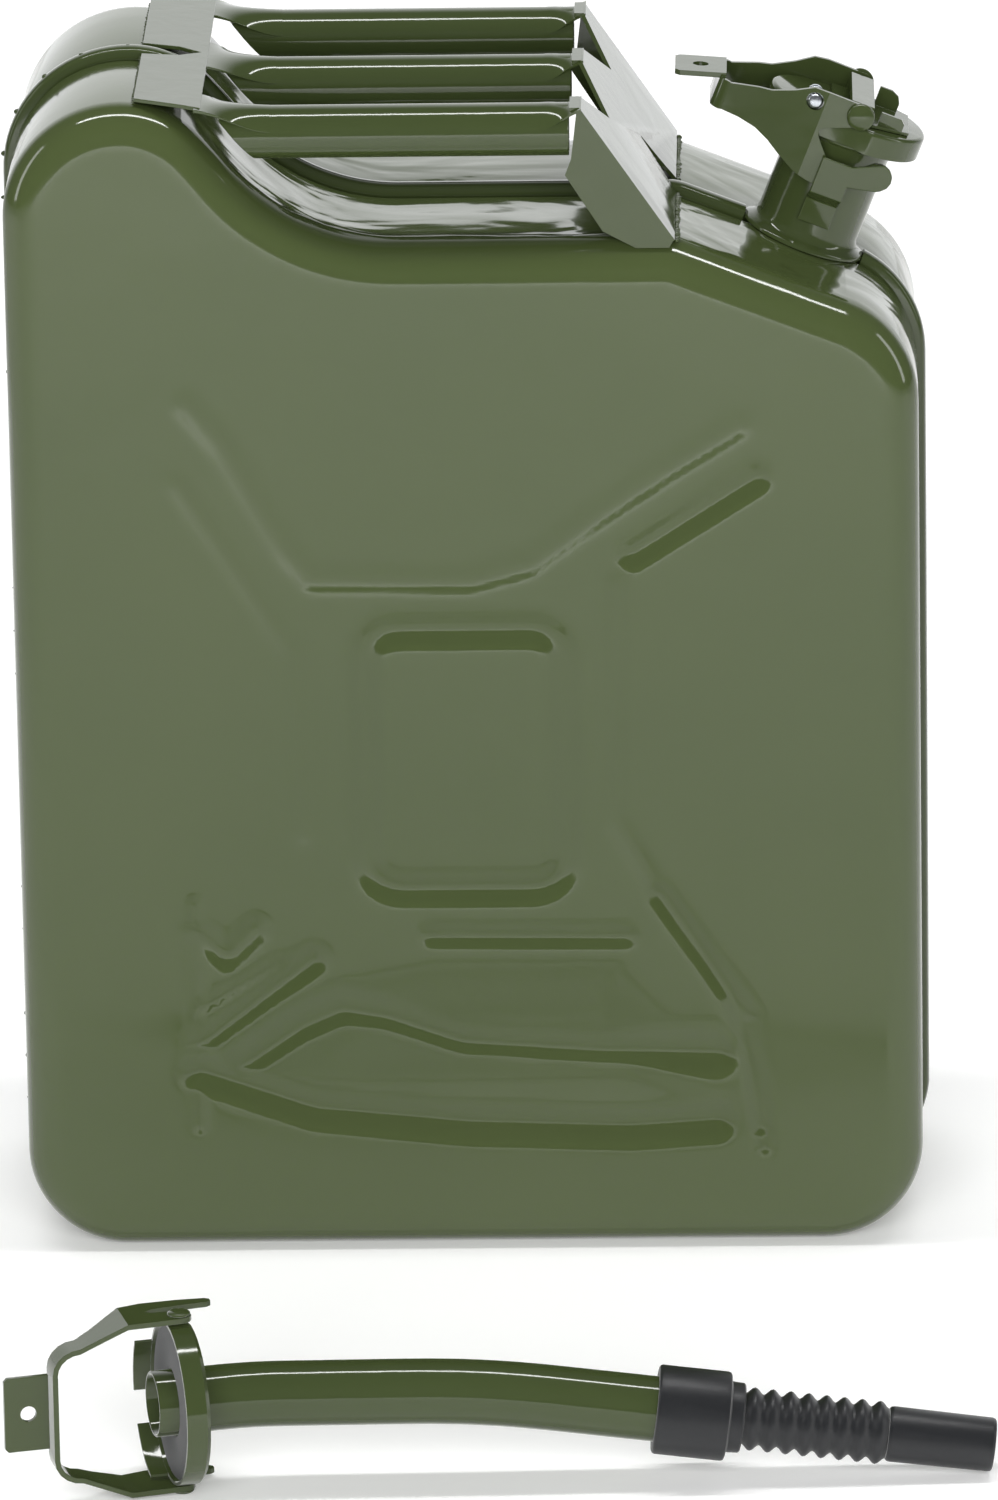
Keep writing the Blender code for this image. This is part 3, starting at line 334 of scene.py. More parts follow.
# Pressed grooves as lines of (x, z) in millimetres, with half width and depth.
ring = arc((-26, 159), 13, 270, 180, 6) + arc((-26, 236), 13, 180, 90, 6)
ring += arc((24, 236), 13, 90, 0, 6) + arc((24, 159), 13, 0, -90, 6)
GROOVES = [
    (ring + ring[:1], 9.0, 2.2),
    ([(-15, 127), (59, 126)], 6.5, 1.5),
    ([(63, 278), (110, 308)], 8.0, 2.2),
    ([(57, 266), (56, 172), (76, 135), (104, 96), (111, 60), (111, 41)], 6.5, 1.2),
    ([(-104, 338), (-91, 322), (-68, 281), (-58, 269), (2, 268), (24, 274), (50, 293), (75, 310), (104, 328)],
     7.5, 0.8),
    ([(72, 143), (88, 119), (104, 94)], 7.0, 2.6),
    ([(99, 101), (107, 72), (110, 48)], 6.5, 2.4),
    ([(-88, 75), (-66, 90), (-50, 97), (-32, 94), (-4, 84), (50, 80), (92, 79)], 13.0, 4.1),
    ([(-103, 73), (-60, 58), (0, 52), (60, 50), (92, 52)], 12.0, 3.7),
    ([(-104, 129), (-93, 119), (-82, 130)], 8.5, 1.7),
    ([(-104, 98), (-72, 117)], 4.5, 1.6),
    ([(-104, 72), (-88, 80)], 5.0, 1.6),
    ([(-108, 307), (-90, 279), (-66, 240), (-63, 168)], 6.0, 0.6),
    ([(-105, 140), (-105, 51)], 5.0, 1.2),
    ([(-60, 118), (-104, 84)], 8.5, 2.2),
]
FOOT_PANEL = [(-105, 53), (-105, 84), (-56, 112), (-16, 121), (61, 121), (74, 98), (109, 48), (60, 40), (-60, 40)]


def line_distance(points, line):
    """Distance of every point to a line of points."""
    best = np.full(len(points), 1e9)
    for a, b in zip(line, line[1:]):
        a, b = np.array(a, float), np.array(b, float)
        along = b - a
        t = np.clip(((points - a) @ along) / (along @ along), 0, 1)
        best = np.minimum(best, np.linalg.norm(points - (a + t[:, None] * along), axis=1))
    return best


def within(points, loop):
    """Which points lie inside a closed loop."""
    found = np.zeros(len(points), bool)
    x, z = points.T
    for (ax, az), (bx, bz) in zip(loop, loop[1:] + loop[:1]):
        if az == bz:
            continue
        crosses = (az > z) != (bz > z)
        found ^= crosses & (x < ax + (bx - ax) * (z - az) / (bz - az))
    return found


def pressing(points):
    """Depth of the pressed pattern in millimetres at points (x, z) in millimetres."""
    depth = np.zeros(len(points))
    for line, half, deep in GROOVES:
        reach = np.clip(line_distance(points, line) / half, 0, 1)
        depth = np.maximum(depth, deep * (0.5 + 0.5 * np.cos(np.pi * reach)))
    reach = line_distance(points, FOOT_PANEL + FOOT_PANEL[:1]) * within(points, FOOT_PANEL)
    reach = np.clip(reach / 31, 0, 1)
    depth = np.maximum(depth, 2.6 * (0.5 - 0.5 * np.cos(np.pi * reach)))
    return depth


def broad_face():
    """The flat face with its pressed pattern: points (x, z, depth) in metres, triangles, rim indices."""
    rim = [(p.x, p.z) for p in around(FACE_RADIUS, 0)]
    rim_mm = [(x / MM, z / MM) for x, z in rim]
    pitch = 2.7
    xs = np.arange(-156, 156, pitch)
    zs = np.arange(15, 438, pitch * 0.866)
    grid = np.array([(x + (pitch / 2 if row % 2 else 0), z) for row, z in enumerate(zs) for x in xs])
    grid = grid[within(grid, rim_mm)]
    grid = grid[line_distance(grid, rim_mm + rim_mm[:1]) > pitch * 0.6]
    points = np.vstack([np.array(rim_mm), grid])
    flat = [Vector((x * MM, z * MM)) for x, z in points]
    edges = [(i, (i + 1) % len(rim)) for i in range(len(rim))]
    verts, _, faces, origin, _, _ = delaunay_2d_cdt(flat, edges, [list(range(len(rim)))], 1, 1e-8, True)
    where = np.array([(v.x / MM, v.y / MM) for v in verts])
    depth = pressing(where)
    middles = np.array([where[list(face)].mean(axis=0) for face in faces])
    keep = within(middles, rim_mm)
    index = {old: new for new, ids in enumerate(origin) for old in ids}
    triangles = [face for face, kept in zip(faces, keep) if kept]
    placed = [(x * MM, z * MM, d * MM) for (x, z), d in zip(where, depth)]
    return placed, triangles, [index[i] for i in range(len(rim))]


def show(name, skin, material, body, *nodes, sharp=40, slot="enamel"):
    """Finish a bmesh as a piece of the object that stands for CAD nodes and rides on their body."""
    bmesh.ops.recalc_face_normals(skin, faces=skin.faces)
    mesh = bpy.data.meshes.new(name)
    skin.to_mesh(mesh)
    skin.free()
    mesh.shade_smooth()
    mesh.set_sharp_from_angle(angle=math.radians(sharp))
    mesh.materials.append(material)
    piece = bpy.data.objects.new(name, mesh)
    bpy.context.collection.objects.link(piece)
    if nodes:
        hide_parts(*nodes)
    if body:
        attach(piece, body)
    return piece


def skin_loops(skin, loops, wrap=False):
    """Quads between each pair of neighbouring loops of vertices."""
    pairs = list(zip(loops, loops[1:]))
    if wrap:
        pairs.append((loops[-1], loops[0]))
    for first, second in pairs:
        for i in range(len(first)):
            j = (i + 1) % len(first)
            skin.faces.new((first[i], first[j], second[j], second[i]))


FACE = broad_face()


def pressed_half(name, side, node):
    half = CAN_DEPTH / 2
    outer = []
    inner = []
    for k in range(1, 9):
        a = math.radians(90 * k / 8)
        outer.append((FACE_RADIUS * (1 - math.sin(a)), half - FACE_RADIUS + FACE_RADIUS * math.cos(a)))
    for k in range(1, 4):
        a = math.radians(30 * k)
        wall = FACE_RADIUS - SHEET
        inner.append((FACE_RADIUS - wall * math.sin(a), half - FACE_RADIUS + wall * math.cos(a)))
    for k in range(6):
        a = math.radians(18 * k)
        edge = SEAM_RECESS + LIP_RADIUS
        outer.append((LIP_RADIUS * (1 - math.cos(a)), edge - LIP_RADIUS * math.sin(a)))
        wall = LIP_RADIUS - SHEET
        inner.append((LIP_RADIUS - wall * math.cos(a), edge - wall * math.sin(a)))
    outer += [(SEAM_RECESS, SEAM_RECESS), (SEAM_RECESS, 0.15 * MM)]
    inner += [(SEAM_RECESS + SHEET, SEAM_RECESS + SHEET), (SEAM_RECESS + SHEET, 0.15 * MM)]
    skin = bmesh.new()
    points, triangles, rim = FACE
    front = [skin.verts.new((x, side * (half - d), z)) for x, z, d in points]
    for face in triangles:
        skin.faces.new([front[i] for i in face])
    loops = [[front[i] for i in rim]]
    loops += [[skin.verts.new(p) for p in around(inset, side * y)] for inset, y in outer]
    loops += [[skin.verts.new(p) for p in around(inset, side * y)] for inset, y in reversed(inner)]
    back = [skin.verts.new((x, side * (half - SHEET - d), z)) for x, z, d in points]
    for face in triangles:
        skin.faces.new([back[i] for i in face])
    loops.append([back[i] for i in rim])
    skin_loops(skin, loops)
    return show(name, skin, BODY_ENAMEL, "can", node, sharp=60)


front_half = pressed_half("front_half", -1, "front_shell")
rear_half = pressed_half("rear_half", 1, "rear_shell")

NECK_X = 128.4 * MM
NECK_FOOT = Vector((NECK_X, 0, RECESS_Z - math.tan(SLOPE) * (NECK_X - SLOPE_X)))
NECK = Matrix.Translation(NECK_FOOT) @ Matrix.Rotation(SLOPE, 4, "Y")


def scaled(points):
    return [tuple(value * MM for value in point) for point in points]


def turned(profile, segments, place=None):
    """Turn a closed (radius, height) outline in metres about Z. A radius of zero becomes a pole."""
    skin = bmesh.new()
    loops = []
    for radius, height in profile:
        if radius <= 0:
            loops.append([skin.verts.new((0, 0, height))])
            continue
        angles = [2 * math.pi * k / segments for k in range(segments)]
        loops.append([skin.verts.new((radius * math.cos(a), radius * math.sin(a), height)) for a in angles])
    for first, second in zip(loops, loops[1:] + loops[:1]):
        if len(first) == 1 and len(second) == 1:
            continue
        for k in range(segments):
            j = (k + 1) % segments
            corners = [first[k % len(first)], first[j % len(first)]]
            corners += [second[j % len(second)], second[k % len(second)]]
            skin.faces.new(list(dict.fromkeys(corners)))
    if place is not None:
        bmesh.ops.transform(skin, matrix=place, verts=skin.verts)
    return skin


def cut_neck_hole(piece, radius, depth, height):
    """Cut the round hole where the neck passes, and keep the result as a plain mesh."""
    drill = bpy.data.meshes.new("neck_drill")
    tool = turned([(0, -depth), (radius, -depth), (radius, height), (0, height)], 96, NECK)
    bmesh.ops.recalc_face_normals(tool, faces=tool.faces)
    tool.to_mesh(drill)
    tool.free()
    cutter = bpy.data.objects.new("neck_drill", drill)
    bpy.context.collection.objects.link(cutter)
    step = piece.modifiers.new("neck", "BOOLEAN")
    step.object = cutter
    step.operation = "DIFFERENCE"
    result = bpy.data.meshes.new_from_object(piece.evaluated_get(bpy.context.evaluated_depsgraph_get()))
    piece.modifiers.clear()
    piece.data = result
    bpy.data.objects.remove(cutter, do_unlink=True)


for half in (front_half, rear_half):
    cut_neck_hole(half, 20.05 * MM, 14 * MM, 8 * MM)


# ------------------------------------------------------------------ seam flange
# The edges of both halves stand up in a recess all round the can, closed by a rolled and welded flange.
# Grinding left a few lumps of weld on it, and it runs out flush with the base.

def seam_flange():
    half = 4 * MM
    root = SEAM_RECESS - 0.3 * MM
    roll = 1.9 * MM
    crown = [(-roll + roll * math.sin(a), half * math.cos(a) if abs(math.cos(a)) > 1e-6 else 0.0)
             for a in np.radians(np.linspace(0, 180, 11))]
    section = [(-root, half)] + crown + [(-root, -half)]
    skin = bmesh.new()
    loops = []
    for offset, y in section:
        loop = []
        for x, z, nx, nz in OUTLINE:
            # The rim rises from the base to its full height over the corner's radius.
            reach = offset + min(SEAM_PROUD, z * 0.0875) if offset > -root else offset
            loop.append(skin.verts.new((x + nx * reach, y, z + nz * reach)))
        loops.append(loop)
    skin_loops(skin, loops, wrap=True)
    return show("seam_rim", skin, SHADED_PART_ENAMEL, "can", "seam_flange")


cut_neck_hole(seam_flange(), 24.3 * MM, 14 * MM, 9 * MM)


# ------------------------------------------------------------------ handle bars
# Three rolled steel tubes, 20 mm across. Their left ends are cut back underneath to sit on the shoulder.

BAR_RADIUS = 10 * MM
BAR_WALL = 1.2 * MM
BAR_Z = 441 * MM
BAR_LEFT = -92 * MM
BAR_RIGHT = 41.5 * MM
BAR_SLANT = 16 * MM


def handle_bar(name, y, node):
    sides = 56
    soft = 0.35 * MM
    stations = [(BAR_RADIUS - soft, BAR_LEFT, 0), (BAR_RADIUS, BAR_LEFT, soft), (BAR_RADIUS, BAR_RIGHT, -soft),
                (BAR_RADIUS - soft, BAR_RIGHT, 0), (BAR_RADIUS - BAR_WALL, BAR_RIGHT, 0),
                (BAR_RADIUS - BAR_WALL, BAR_LEFT, 0)]
    skin = bmesh.new()
    loops = []
    for radius, x_end, shift in stations:
        loop = []
        for k in range(sides):
            a = 2 * math.pi * k / sides
            x = x_end + shift + (BAR_SLANT * (1 - math.sin(a)) / 2 if x_end == BAR_LEFT else 0)
            loop.append(skin.verts.new((x, y + radius * math.cos(a), BAR_Z + radius * math.sin(a))))
        loops.append(loop)
    skin_loops(skin, loops, wrap=True)
    show(name, skin, SHADED_PART_ENAMEL, "can", node)


handle_bar("grip_tube_front", -70 * MM, "handle_bar_front")
handle_bar("grip_tube_middle", 0, "handle_bar_middle")
handle_bar("grip_tube_rear", 70 * MM, "handle_bar_rear")


# ------------------------------------------------------------------ handle brackets
# Plates of 1.5 mm sheet, sheared and folded, with tongues dressed down over the bars' ends and welded.
# The paint rounds their cut edges, and the right plate has a side wing at each end.

def roll_edges(piece, width, angle):
    """Round every edge of a piece that turns by more than angle degrees."""
    edge = piece.modifiers.new("rolled_edge", "BEVEL")
    edge.width = width
    edge.segments = 3
    edge.limit_method = "ANGLE"
    edge.angle_limit = math.radians(angle)
    edge.harden_normals = True
    return piece


def dressed(name, node, material, body, width, slot="enamel", angle=25):
    """A copy of a flat-sided solid with its edges rolled off."""
    skin = bmesh.new()
    skin.from_mesh(frame["nodes"][node].data)
    bmesh.ops.remove_doubles(skin, verts=skin.verts, dist=0.000002)
    bmesh.ops.dissolve_limit(skin, angle_limit=math.radians(0.6), verts=skin.verts, edges=skin.edges)
    return roll_edges(show(name, skin, material, body, node, sharp=angle, slot=slot), width, angle)


def finger(skin, bar_y, flat, wrap, flat_z, half):
    """A tongue of sheet that runs from the flat plate at x = flat to a saddle over the bar at x = wrap."""
    steps, spans = 16, 16
    layers = []
    for start_lift, end_lift in ((0.25 * MM, -0.7 * MM), (1.6 * MM, 0.04 * MM)):
        rows = []
        for i in range(steps + 1):
            u = i / steps
            shape = u * u * (3 - 2 * u)
            lift = start_lift + (end_lift - start_lift) * u ** 0.7
            row = []
            for j in range(spans + 1):
                v = 2 * j / spans - 1
                a = v * math.radians(78)
                level = flat_z + lift
                curve = (bar_y + (BAR_RADIUS + lift) * math.sin(a), BAR_Z + (BAR_RADIUS + lift) * math.cos(a))
                y = bar_y + v * half + (curve[0] - bar_y - v * half) * shape
                z = level + (curve[1] - level) * shape
                row.append(skin.verts.new((flat + (wrap - flat) * u, y, z)))
            rows.append(row)
        layers.append(rows)
    low, high = layers
    for rows in layers:
        for first, second in zip(rows, rows[1:]):
            for j in range(spans):
                skin.faces.new((first[j], first[j + 1], second[j + 1], second[j]))
    for i in range(steps):
        for j in (0, spans):
            skin.faces.new((low[i][j], low[i + 1][j], high[i + 1][j], high[i][j]))
    for i in (0, steps):
        for j in range(spans):
            skin.faces.new((low[i][j], low[i][j + 1], high[i][j + 1], high[i][j]))


PLATE_EDGE = -96.5 * MM
PLATE_Z = 451.6 * MM
skin = bmesh.new()
plan = scaled([(-121, -73), (-104, -77), (-96, -80), (-96, 80), (-104, 77), (-121, 73),
               (-121, 7.5), (-107, 6), (-99, 0), (-107, -6), (-121, -7.5)])
levels = []
for thick in (0.0, 1.5 * MM):
    levels.append([skin.verts.new((x, y, PLATE_Z + thick - (x - PLATE_EDGE) * 0.085)) for x, y in plan])
skin_loops(skin, levels)
skin.faces.new(levels[0])
skin.faces.new(levels[1])
for bar_y in (-70 * MM, 0, 70 * MM):
    finger(skin, bar_y, PLATE_EDGE - 2 * MM, -70 * MM, PLATE_Z - 0.2 * MM, 18 * MM if bar_y == 0 else 12 * MM)
roll_edges(show("shoulder_plate", skin, SHADED_PART_ENAMEL, "can", "handle_bracket_left", sharp=30), 0.45 * MM, 50)

gusset = dressed("gusset_plate", "handle_bracket_right", SHADED_PART_ENAMEL, "can", 0.5 * MM)
# The foot is notched over the seam: a shear cut with bowed sides.
notch_plan = [(-9.5, 395), (-9.5, 400), (-6.2, 405), (-3.4, 411), (-0.8, 418.5), (0.8, 418.5), (3.4, 411), (6.2, 405),
              (9.5, 400), (9.5, 395)]
skin = bmesh.new()
ends = [[skin.verts.new((x * MM, y * MM, z * MM)) for y, z in notch_plan] for x in (55, 95)]
skin_loops(skin, ends)
for loop in ends:
    skin.faces.new(loop)
bmesh.ops.recalc_face_normals(skin, faces=skin.faces)
shear = bpy.data.objects.new("foot_shear", bpy.data.meshes.new("foot_shear"))
skin.to_mesh(shear.data)
skin.free()
bpy.context.collection.objects.link(shear)
gusset.modifiers.clear()
step = gusset.modifiers.new("foot_shear", "BOOLEAN")
step.object = shear
step.operation = "DIFFERENCE"
gusset.data = bpy.data.meshes.new_from_object(gusset.evaluated_get(bpy.context.evaluated_depsgraph_get()))
gusset.modifiers.clear()
bpy.data.objects.remove(shear, do_unlink=True)
roll_edges(gusset, 0.5 * MM, 25)
skin = bmesh.new()
for bar_y in (-70 * MM, 0, 70 * MM):
    finger(skin, bar_y, 46.2 * MM, 31 * MM, 449.4 * MM, 9.5 * MM)
show("gusset_tongues", skin, SHADED_PART_ENAMEL, "can", sharp=50)

# Weld beads: small irregular drops of steel, run along a line and painted over.
bead_tree = bpy.data.node_groups.new("weld_beads", "GeometryNodeTree")
bead_tree.interface.new_socket("Geometry", in_out="INPUT", socket_type="NodeSocketGeometry")
for label, default in (("Pitch", 0.003), ("Radius", 0.001)):
    bead_tree.interface.new_socket(label, in_out="INPUT", socket_type="NodeSocketFloat").default_value = default
bead_tree.interface.new_socket("Geometry", in_out="OUTPUT", socket_type="NodeSocketGeometry")
given = add_node(bead_tree, "NodeGroupInput").outputs
line = add_node(bead_tree, "GeometryNodeMeshToCurve", inputs={"Mesh": given["Geometry"]})
spaced = add_node(bead_tree, "GeometryNodeResampleCurve", {"mode": "LENGTH"},
                  {"Curve": line.outputs["Curve"], "Length": given["Pitch"]})
drop = add_node(bead_tree, "GeometryNodeMeshIcoSphere", inputs={"Radius": given["Radius"], "Subdivisions": 2})
size = add_node(bead_tree, "FunctionNodeRandomValue", {"data_type": "FLOAT_VECTOR"},
                {0: (0.6, 0.6, 0.4), 1: (1.5, 1.4, 1.0), "Seed": 7})
drops = add_node(bead_tree, "GeometryNodeInstanceOnPoints", inputs={
    "Points": spaced.outputs["Curve"], "Instance": drop.outputs["Mesh"], "Scale": size.outputs["Value"]})
real = add_node(bead_tree, "GeometryNodeRealizeInstances", inputs={"Geometry": drops.outputs["Instances"]})
finish = add_node(bead_tree, "GeometryNodeSetMaterial",
                  inputs={"Geometry": real.outputs["Geometry"], "Material": SHADED_PART_ENAMEL})
add_node(bead_tree, "NodeGroupOutput", inputs={"Geometry": finish.outputs["Geometry"]})


def grown(name, tree, values, seed_mesh=None):
    """Run a geometry node tree with named input values and return its result as a plain mesh."""
    source = bpy.data.objects.new(name, seed_mesh or bpy.data.meshes.new(name))
    bpy.context.collection.objects.link(source)
    step = source.modifiers.new(name, "NODES")
    step.node_group = tree
    for item in tree.interface.items_tree:
        if item.in_out == "INPUT" and item.name in values:
            step[item.identifier] = values[item.name]
    result = bpy.data.meshes.new_from_object(source.evaluated_get(bpy.context.evaluated_depsgraph_get()))
    bpy.data.objects.remove(source, do_unlink=True)
    return result


def weld(name, paths, pitch, radius):
    """Beads of weld along lists of points in millimetres, welded to the can."""
    lines = bpy.data.meshes.new(name)
    points = [p for path in paths for p in path]
    edges = []
    start = 0
    for path in paths:
        edges += [(start + i, start + i + 1) for i in range(len(path) - 1)]
        start += len(path)
    lines.from_pydata([tuple(c * MM for c in p) for p in points], edges, [])
    skin = bmesh.new()
    skin.from_mesh(grown(name, bead_tree, {"Pitch": pitch * MM, "Radius": radius * MM}, lines))
    return show(name, skin, SHADED_PART_ENAMEL, "can", sharp=80)


for name, x, z, reach, pitch, radius in (("shoulder_weld", -121.2, 453.6, 72, 2.6, 0.7),
                                         ("gusset_weld", 81.2, 398.2, 74, 2.2, 1.1)):
    weld(name, [[(x, -reach, z), (x, -9, z)], [(x, 9, z), (x, reach, z)]], pitch, radius)
# Lumps left on the rim, from the left base corner up over the shoulder.
RIM_START, RIM_STOP = 8, 44
RIM_LIFT = 3.0 * MM
rim_line = [((x + nx * RIM_LIFT) / MM, 0.5, (z + nz * RIM_LIFT) / MM)
            for x, z, nx, nz in OUTLINE[RIM_START:RIM_STOP]]
weld("seam_lumps", [rim_line], 17.0, 1.3)


# ------------------------------------------------------------------ filler neck
# A drawn steel tube that slants with the shoulder, with a rolled lip for the lid's seal to press on. It is
# welded on by its foot flange, and carries the breather tube and the straps that hold the lever.

neck_profile = scaled([(19.75, -7), (19.75, 0.3), (24.0, 0.3), (24.0, 1.2), (23.4, 1.9), (21.4, 2.9),
                       (20.3, 4.2), (19.75, 6.5), (19.75, 42)])
neck_profile += scaled(arc((19.5, 43.7), 1.3, -70, 120, 9)) + scaled([(18, 43.8), (18, -7)])
show("neck_tube", turned(neck_profile, 96, NECK), SHADED_PART_ENAMEL, "can", "filler_neck", sharp=50)

# Zinc-plated tube and wire: a dull bluish white, clouded by fine grain in the plating.
zinc_plate, tree, shader = new_material("zinc_plated_steel")
place = add_node(tree, "ShaderNodeTexCoord").outputs["Object"]
grain = add_node(tree, "ShaderNodeTexNoise", inputs={"Vector": place, "Scale": 900.0, "Detail": 3.0})
tone = add_node(tree, "ShaderNodeMix", {"data_type": "RGBA"},
                {"Factor": grain.outputs["Fac"], 6: srgb("#B9BFC6"), 7: srgb("#DCE1E6")})
tree.links.new(tone.outputs[2], shader.inputs["Base Color"])
shader.inputs["Metallic"].default_value = 1.0
rough = add_node(tree, "ShaderNodeMapRange", inputs={"Value": grain.outputs["Fac"], "To Min": 0.2, "To Max": 0.42})
tree.links.new(rough.outputs["Result"], shader.inputs["Roughness"])
for node in ("breather_tube", "spout_vent_tube"):
    frame["nodes"][node].material_slots[0].material = zinc_plate

for end in ("front", "rear"):
    dressed(f"hinge_strap_{end}", f"catch_bracket_{end}", SHADED_PART_ENAMEL, "can", 0.4 * MM)

LEVER_PIVOT = Vector((15.5, 0, 38)) * MM
LID_PIVOT = Vector((1.4, 0, 57.7)) * MM
LOCK_PIN = Vector((-16.7, 0, 57.0)) * MM


def across(centre, side, base=None):
    """Placement of a shape turned about Z so that it points along +Y or -Y at centre."""
    turn = Matrix.Rotation(math.radians(-90 * side), 4, "X")
    return (NECK if base is None else base) @ Matrix.Translation(centre) @ turn


def rivet_profile(head, shank):
    """A domed head (radius, from, to) on a shank (radius, from)."""
    radius, start, stop = head
    dome = [(radius * math.cos(a), start + (stop - start) * (0.25 + 0.75 * math.sin(a)))
            for a in np.radians(np.linspace(0, 90, 8))]
    dome[-1] = (0, dome[-1][1])
    body = [(0, shank[1]), (shank[0], shank[1]), (shank[0], start)]
    return body + [(radius * 0.96, start), (radius, start + 0.12)] + dome


for end, side in (("front", -1), ("rear", 1)):
    pin = scaled([(0, 21.2), (2.6, 21.25), (3.4, 21.8), (3.4, 22.9), (2.2, 22.9), (2.2, 25.4), (0, 25.4)])
    show(f"pivot_pin_{end}", turned(pin, 40, across(LEVER_PIVOT, side)), SHADED_PART_ENAMEL, "can", f"lever_pin_{end}")


# ------------------------------------------------------------------ closure lever
# A wishbone of 2 mm strip, bent round so that both arms straddle the lid, with a drilled tab on its closed
# end. It turns on the straps' pins, and pushing the tab down cams the lid shut.

dressed("cam_lever", "closure_lever", SHADED_PART_ENAMEL, "lever", 0.45 * MM)


# ------------------------------------------------------------------ lid
# A lid pressed from steel sheet with a rolled rim and a deep skirt, wider past the arms. A black rubber
# seal sits inside, and a saddle welded on top is riveted to the lever's arms.

def lid_plan(inset):
    narrow = 22.6 - inset
    points = arc((3.0, 0), 26.4 - inset, -80, 80, 48)
    points += [(1.2 + inset, narrow)] + arc((-10, 0), narrow, 90, 270, 40) + [(1.2 + inset, -narrow)]
    return scaled(points)


lid_levels = [(0.0, 44.6), (0.0, 52.0)] + [(1.5 - 1.5 * math.cos(a), 52.1 + 1.5 * math.sin(a))
                                        for a in np.radians((15, 35, 55, 75, 90))]
lid_levels += [(2.4, 52.5), (1.2, 51.4), (1.2, 44.6)]
skin = bmesh.new()
loops = [[skin.verts.new((x, y, h * MM)) for x, y in lid_plan(inset)] for inset, h in lid_levels]
skin_loops(skin, loops[:7])
skin.faces.new(loops[6])
skin_loops(skin, [loops[0], loops[9], loops[8], loops[7]])
skin.faces.new(loops[7])
nose = scaled([(-32.5, 46.5), (-31.4, 46.5), (-30.2, 39.5), (-27.6, 36.6), (-28.6, 35.6), (-31.6, 38.8)])
nose_rings = [[skin.verts.new((x, y, z)) for x, z in nose] for y in (-8 * MM, 8 * MM)]
skin_loops(skin, nose_rings)
skin.faces.new(nose_rings[0])
skin.faces.new(nose_rings[1])
bmesh.ops.transform(skin, matrix=NECK, verts=skin.verts)
show("lid_pressing", skin, SHADED_PART_ENAMEL, "lid", "lid_cap", sharp=50)

dressed("lid_saddle", "lid_bridge", SHADED_PART_ENAMEL, "lid", 0.4 * MM)
for end, side in (("front", -1), ("rear", 1)):
    profile = [(r * MM, h * MM) for r, h in rivet_profile((5.3, 25.5, 28.2), (1.95, 18.6))]
    show(f"saddle_rivet_{end}", turned(profile, 48, across(LID_PIVOT, side)), SHADED_PART_ENAMEL, "lid", f"lid_rivet_{end}")

# Moulded black nitrile rubber: matt, with a fine pebbled skin.
nitrile, tree, shader = new_material("black_nitrile_rubber")
place = add_node(tree, "ShaderNodeTexCoord").outputs["Object"]
pebble = add_node(tree, "ShaderNodeTexNoise", inputs={"Vector": place, "Scale": 1100.0, "Detail": 3.0})
tone = add_node(tree, "ShaderNodeMix", {"data_type": "RGBA"},
                {"Factor": pebble.outputs["Fac"], 6: srgb("#161718"), 7: srgb("#232527")})
tree.links.new(tone.outputs[2], shader.inputs["Base Color"])
bump = add_node(tree, "ShaderNodeBump",
                inputs={"Height": pebble.outputs["Fac"], "Strength": 0.6, "Distance": 0.0001})
tree.links.new(bump.outputs["Normal"], shader.inputs["Normal"])
shader.inputs["Roughness"].default_value = 0.55

seal = scaled([(20.2, 45.7), (20.2, 52.0), (12, 52.0), (12, 46.3), (12.8, 45.6), (19.6, 45.4)])
show("lid_seal", turned(seal, 80, NECK), nitrile, "lid", "lid_gasket", slot="rubber")


# ------------------------------------------------------------------ lock pin and its spring
# A short zinc-plated steel pin in the near arm, pushed outwards by a light coil of spring wire round its
# shank. It is pressed in to free the lever.

pin = scaled([(0, -25.0), (1.7, -24.9), (2.5, -24.5), (3.0, -23.6), (3.0, -20.4), (2.0, -20.4), (2.0, -11),
              (2.9, -11), (2.9, -9.9), (2.6, -9.6), (0, -9.6)])
show("lock_bolt", turned(pin, 40, across(LOCK_PIN, 1)), zinc_plate, "lock", "lock_pin", slot="zinc")

coil_tree = bpy.data.node_groups.new("spring_coil", "GeometryNodeTree")
for label, default in (("Turns", 6.0), ("Coil Radius", 0.003), ("Wire Radius", 0.00045), ("Length", 0.032)):
    socket = coil_tree.interface.new_socket(label, in_out="INPUT", socket_type="NodeSocketFloat")
    socket.default_value = default
coil_tree.interface.new_socket("Geometry", in_out="OUTPUT", socket_type="NodeSocketGeometry")
given = add_node(coil_tree, "NodeGroupInput").outputs
spiral = add_node(coil_tree, "GeometryNodeCurveSpiral", inputs={
    "Resolution": 28, "Rotations": given["Turns"], "Start Radius": given["Coil Radius"],
    "End Radius": given["Coil Radius"], "Height": given["Length"]})
wire = add_node(coil_tree, "GeometryNodeCurvePrimitiveCircle",
                inputs={"Resolution": 12, "Radius": given["Wire Radius"]})
solid = add_node(coil_tree, "GeometryNodeCurveToMesh", inputs={
    "Curve": spiral.outputs["Curve"], "Profile Curve": wire.outputs["Curve"], "Fill Caps": True})
real = add_node(coil_tree, "GeometryNodeRealizeInstances", inputs={"Geometry": solid.outputs["Mesh"]})
finish = add_node(coil_tree, "GeometryNodeSetMaterial",
                  inputs={"Geometry": real.outputs["Geometry"], "Material": zinc_plate})
add_node(coil_tree, "NodeGroupOutput", inputs={"Geometry": finish.outputs["Geometry"]})

coil = bmesh.new()
coil.from_mesh(grown("lock_coil", coil_tree, {"Turns": 2.0, "Coil Radius": 2.8 * MM, "Wire Radius": 0.4 * MM,
                                            "Length": 4.7 * MM}))
bmesh.ops.transform(coil, matrix=across(LOCK_PIN + Vector((0, -16.7 * MM, 0)), 1), verts=coil.verts)
show("lock_coil", coil, zinc_plate, "lever", "lock_spring", slot="zinc")


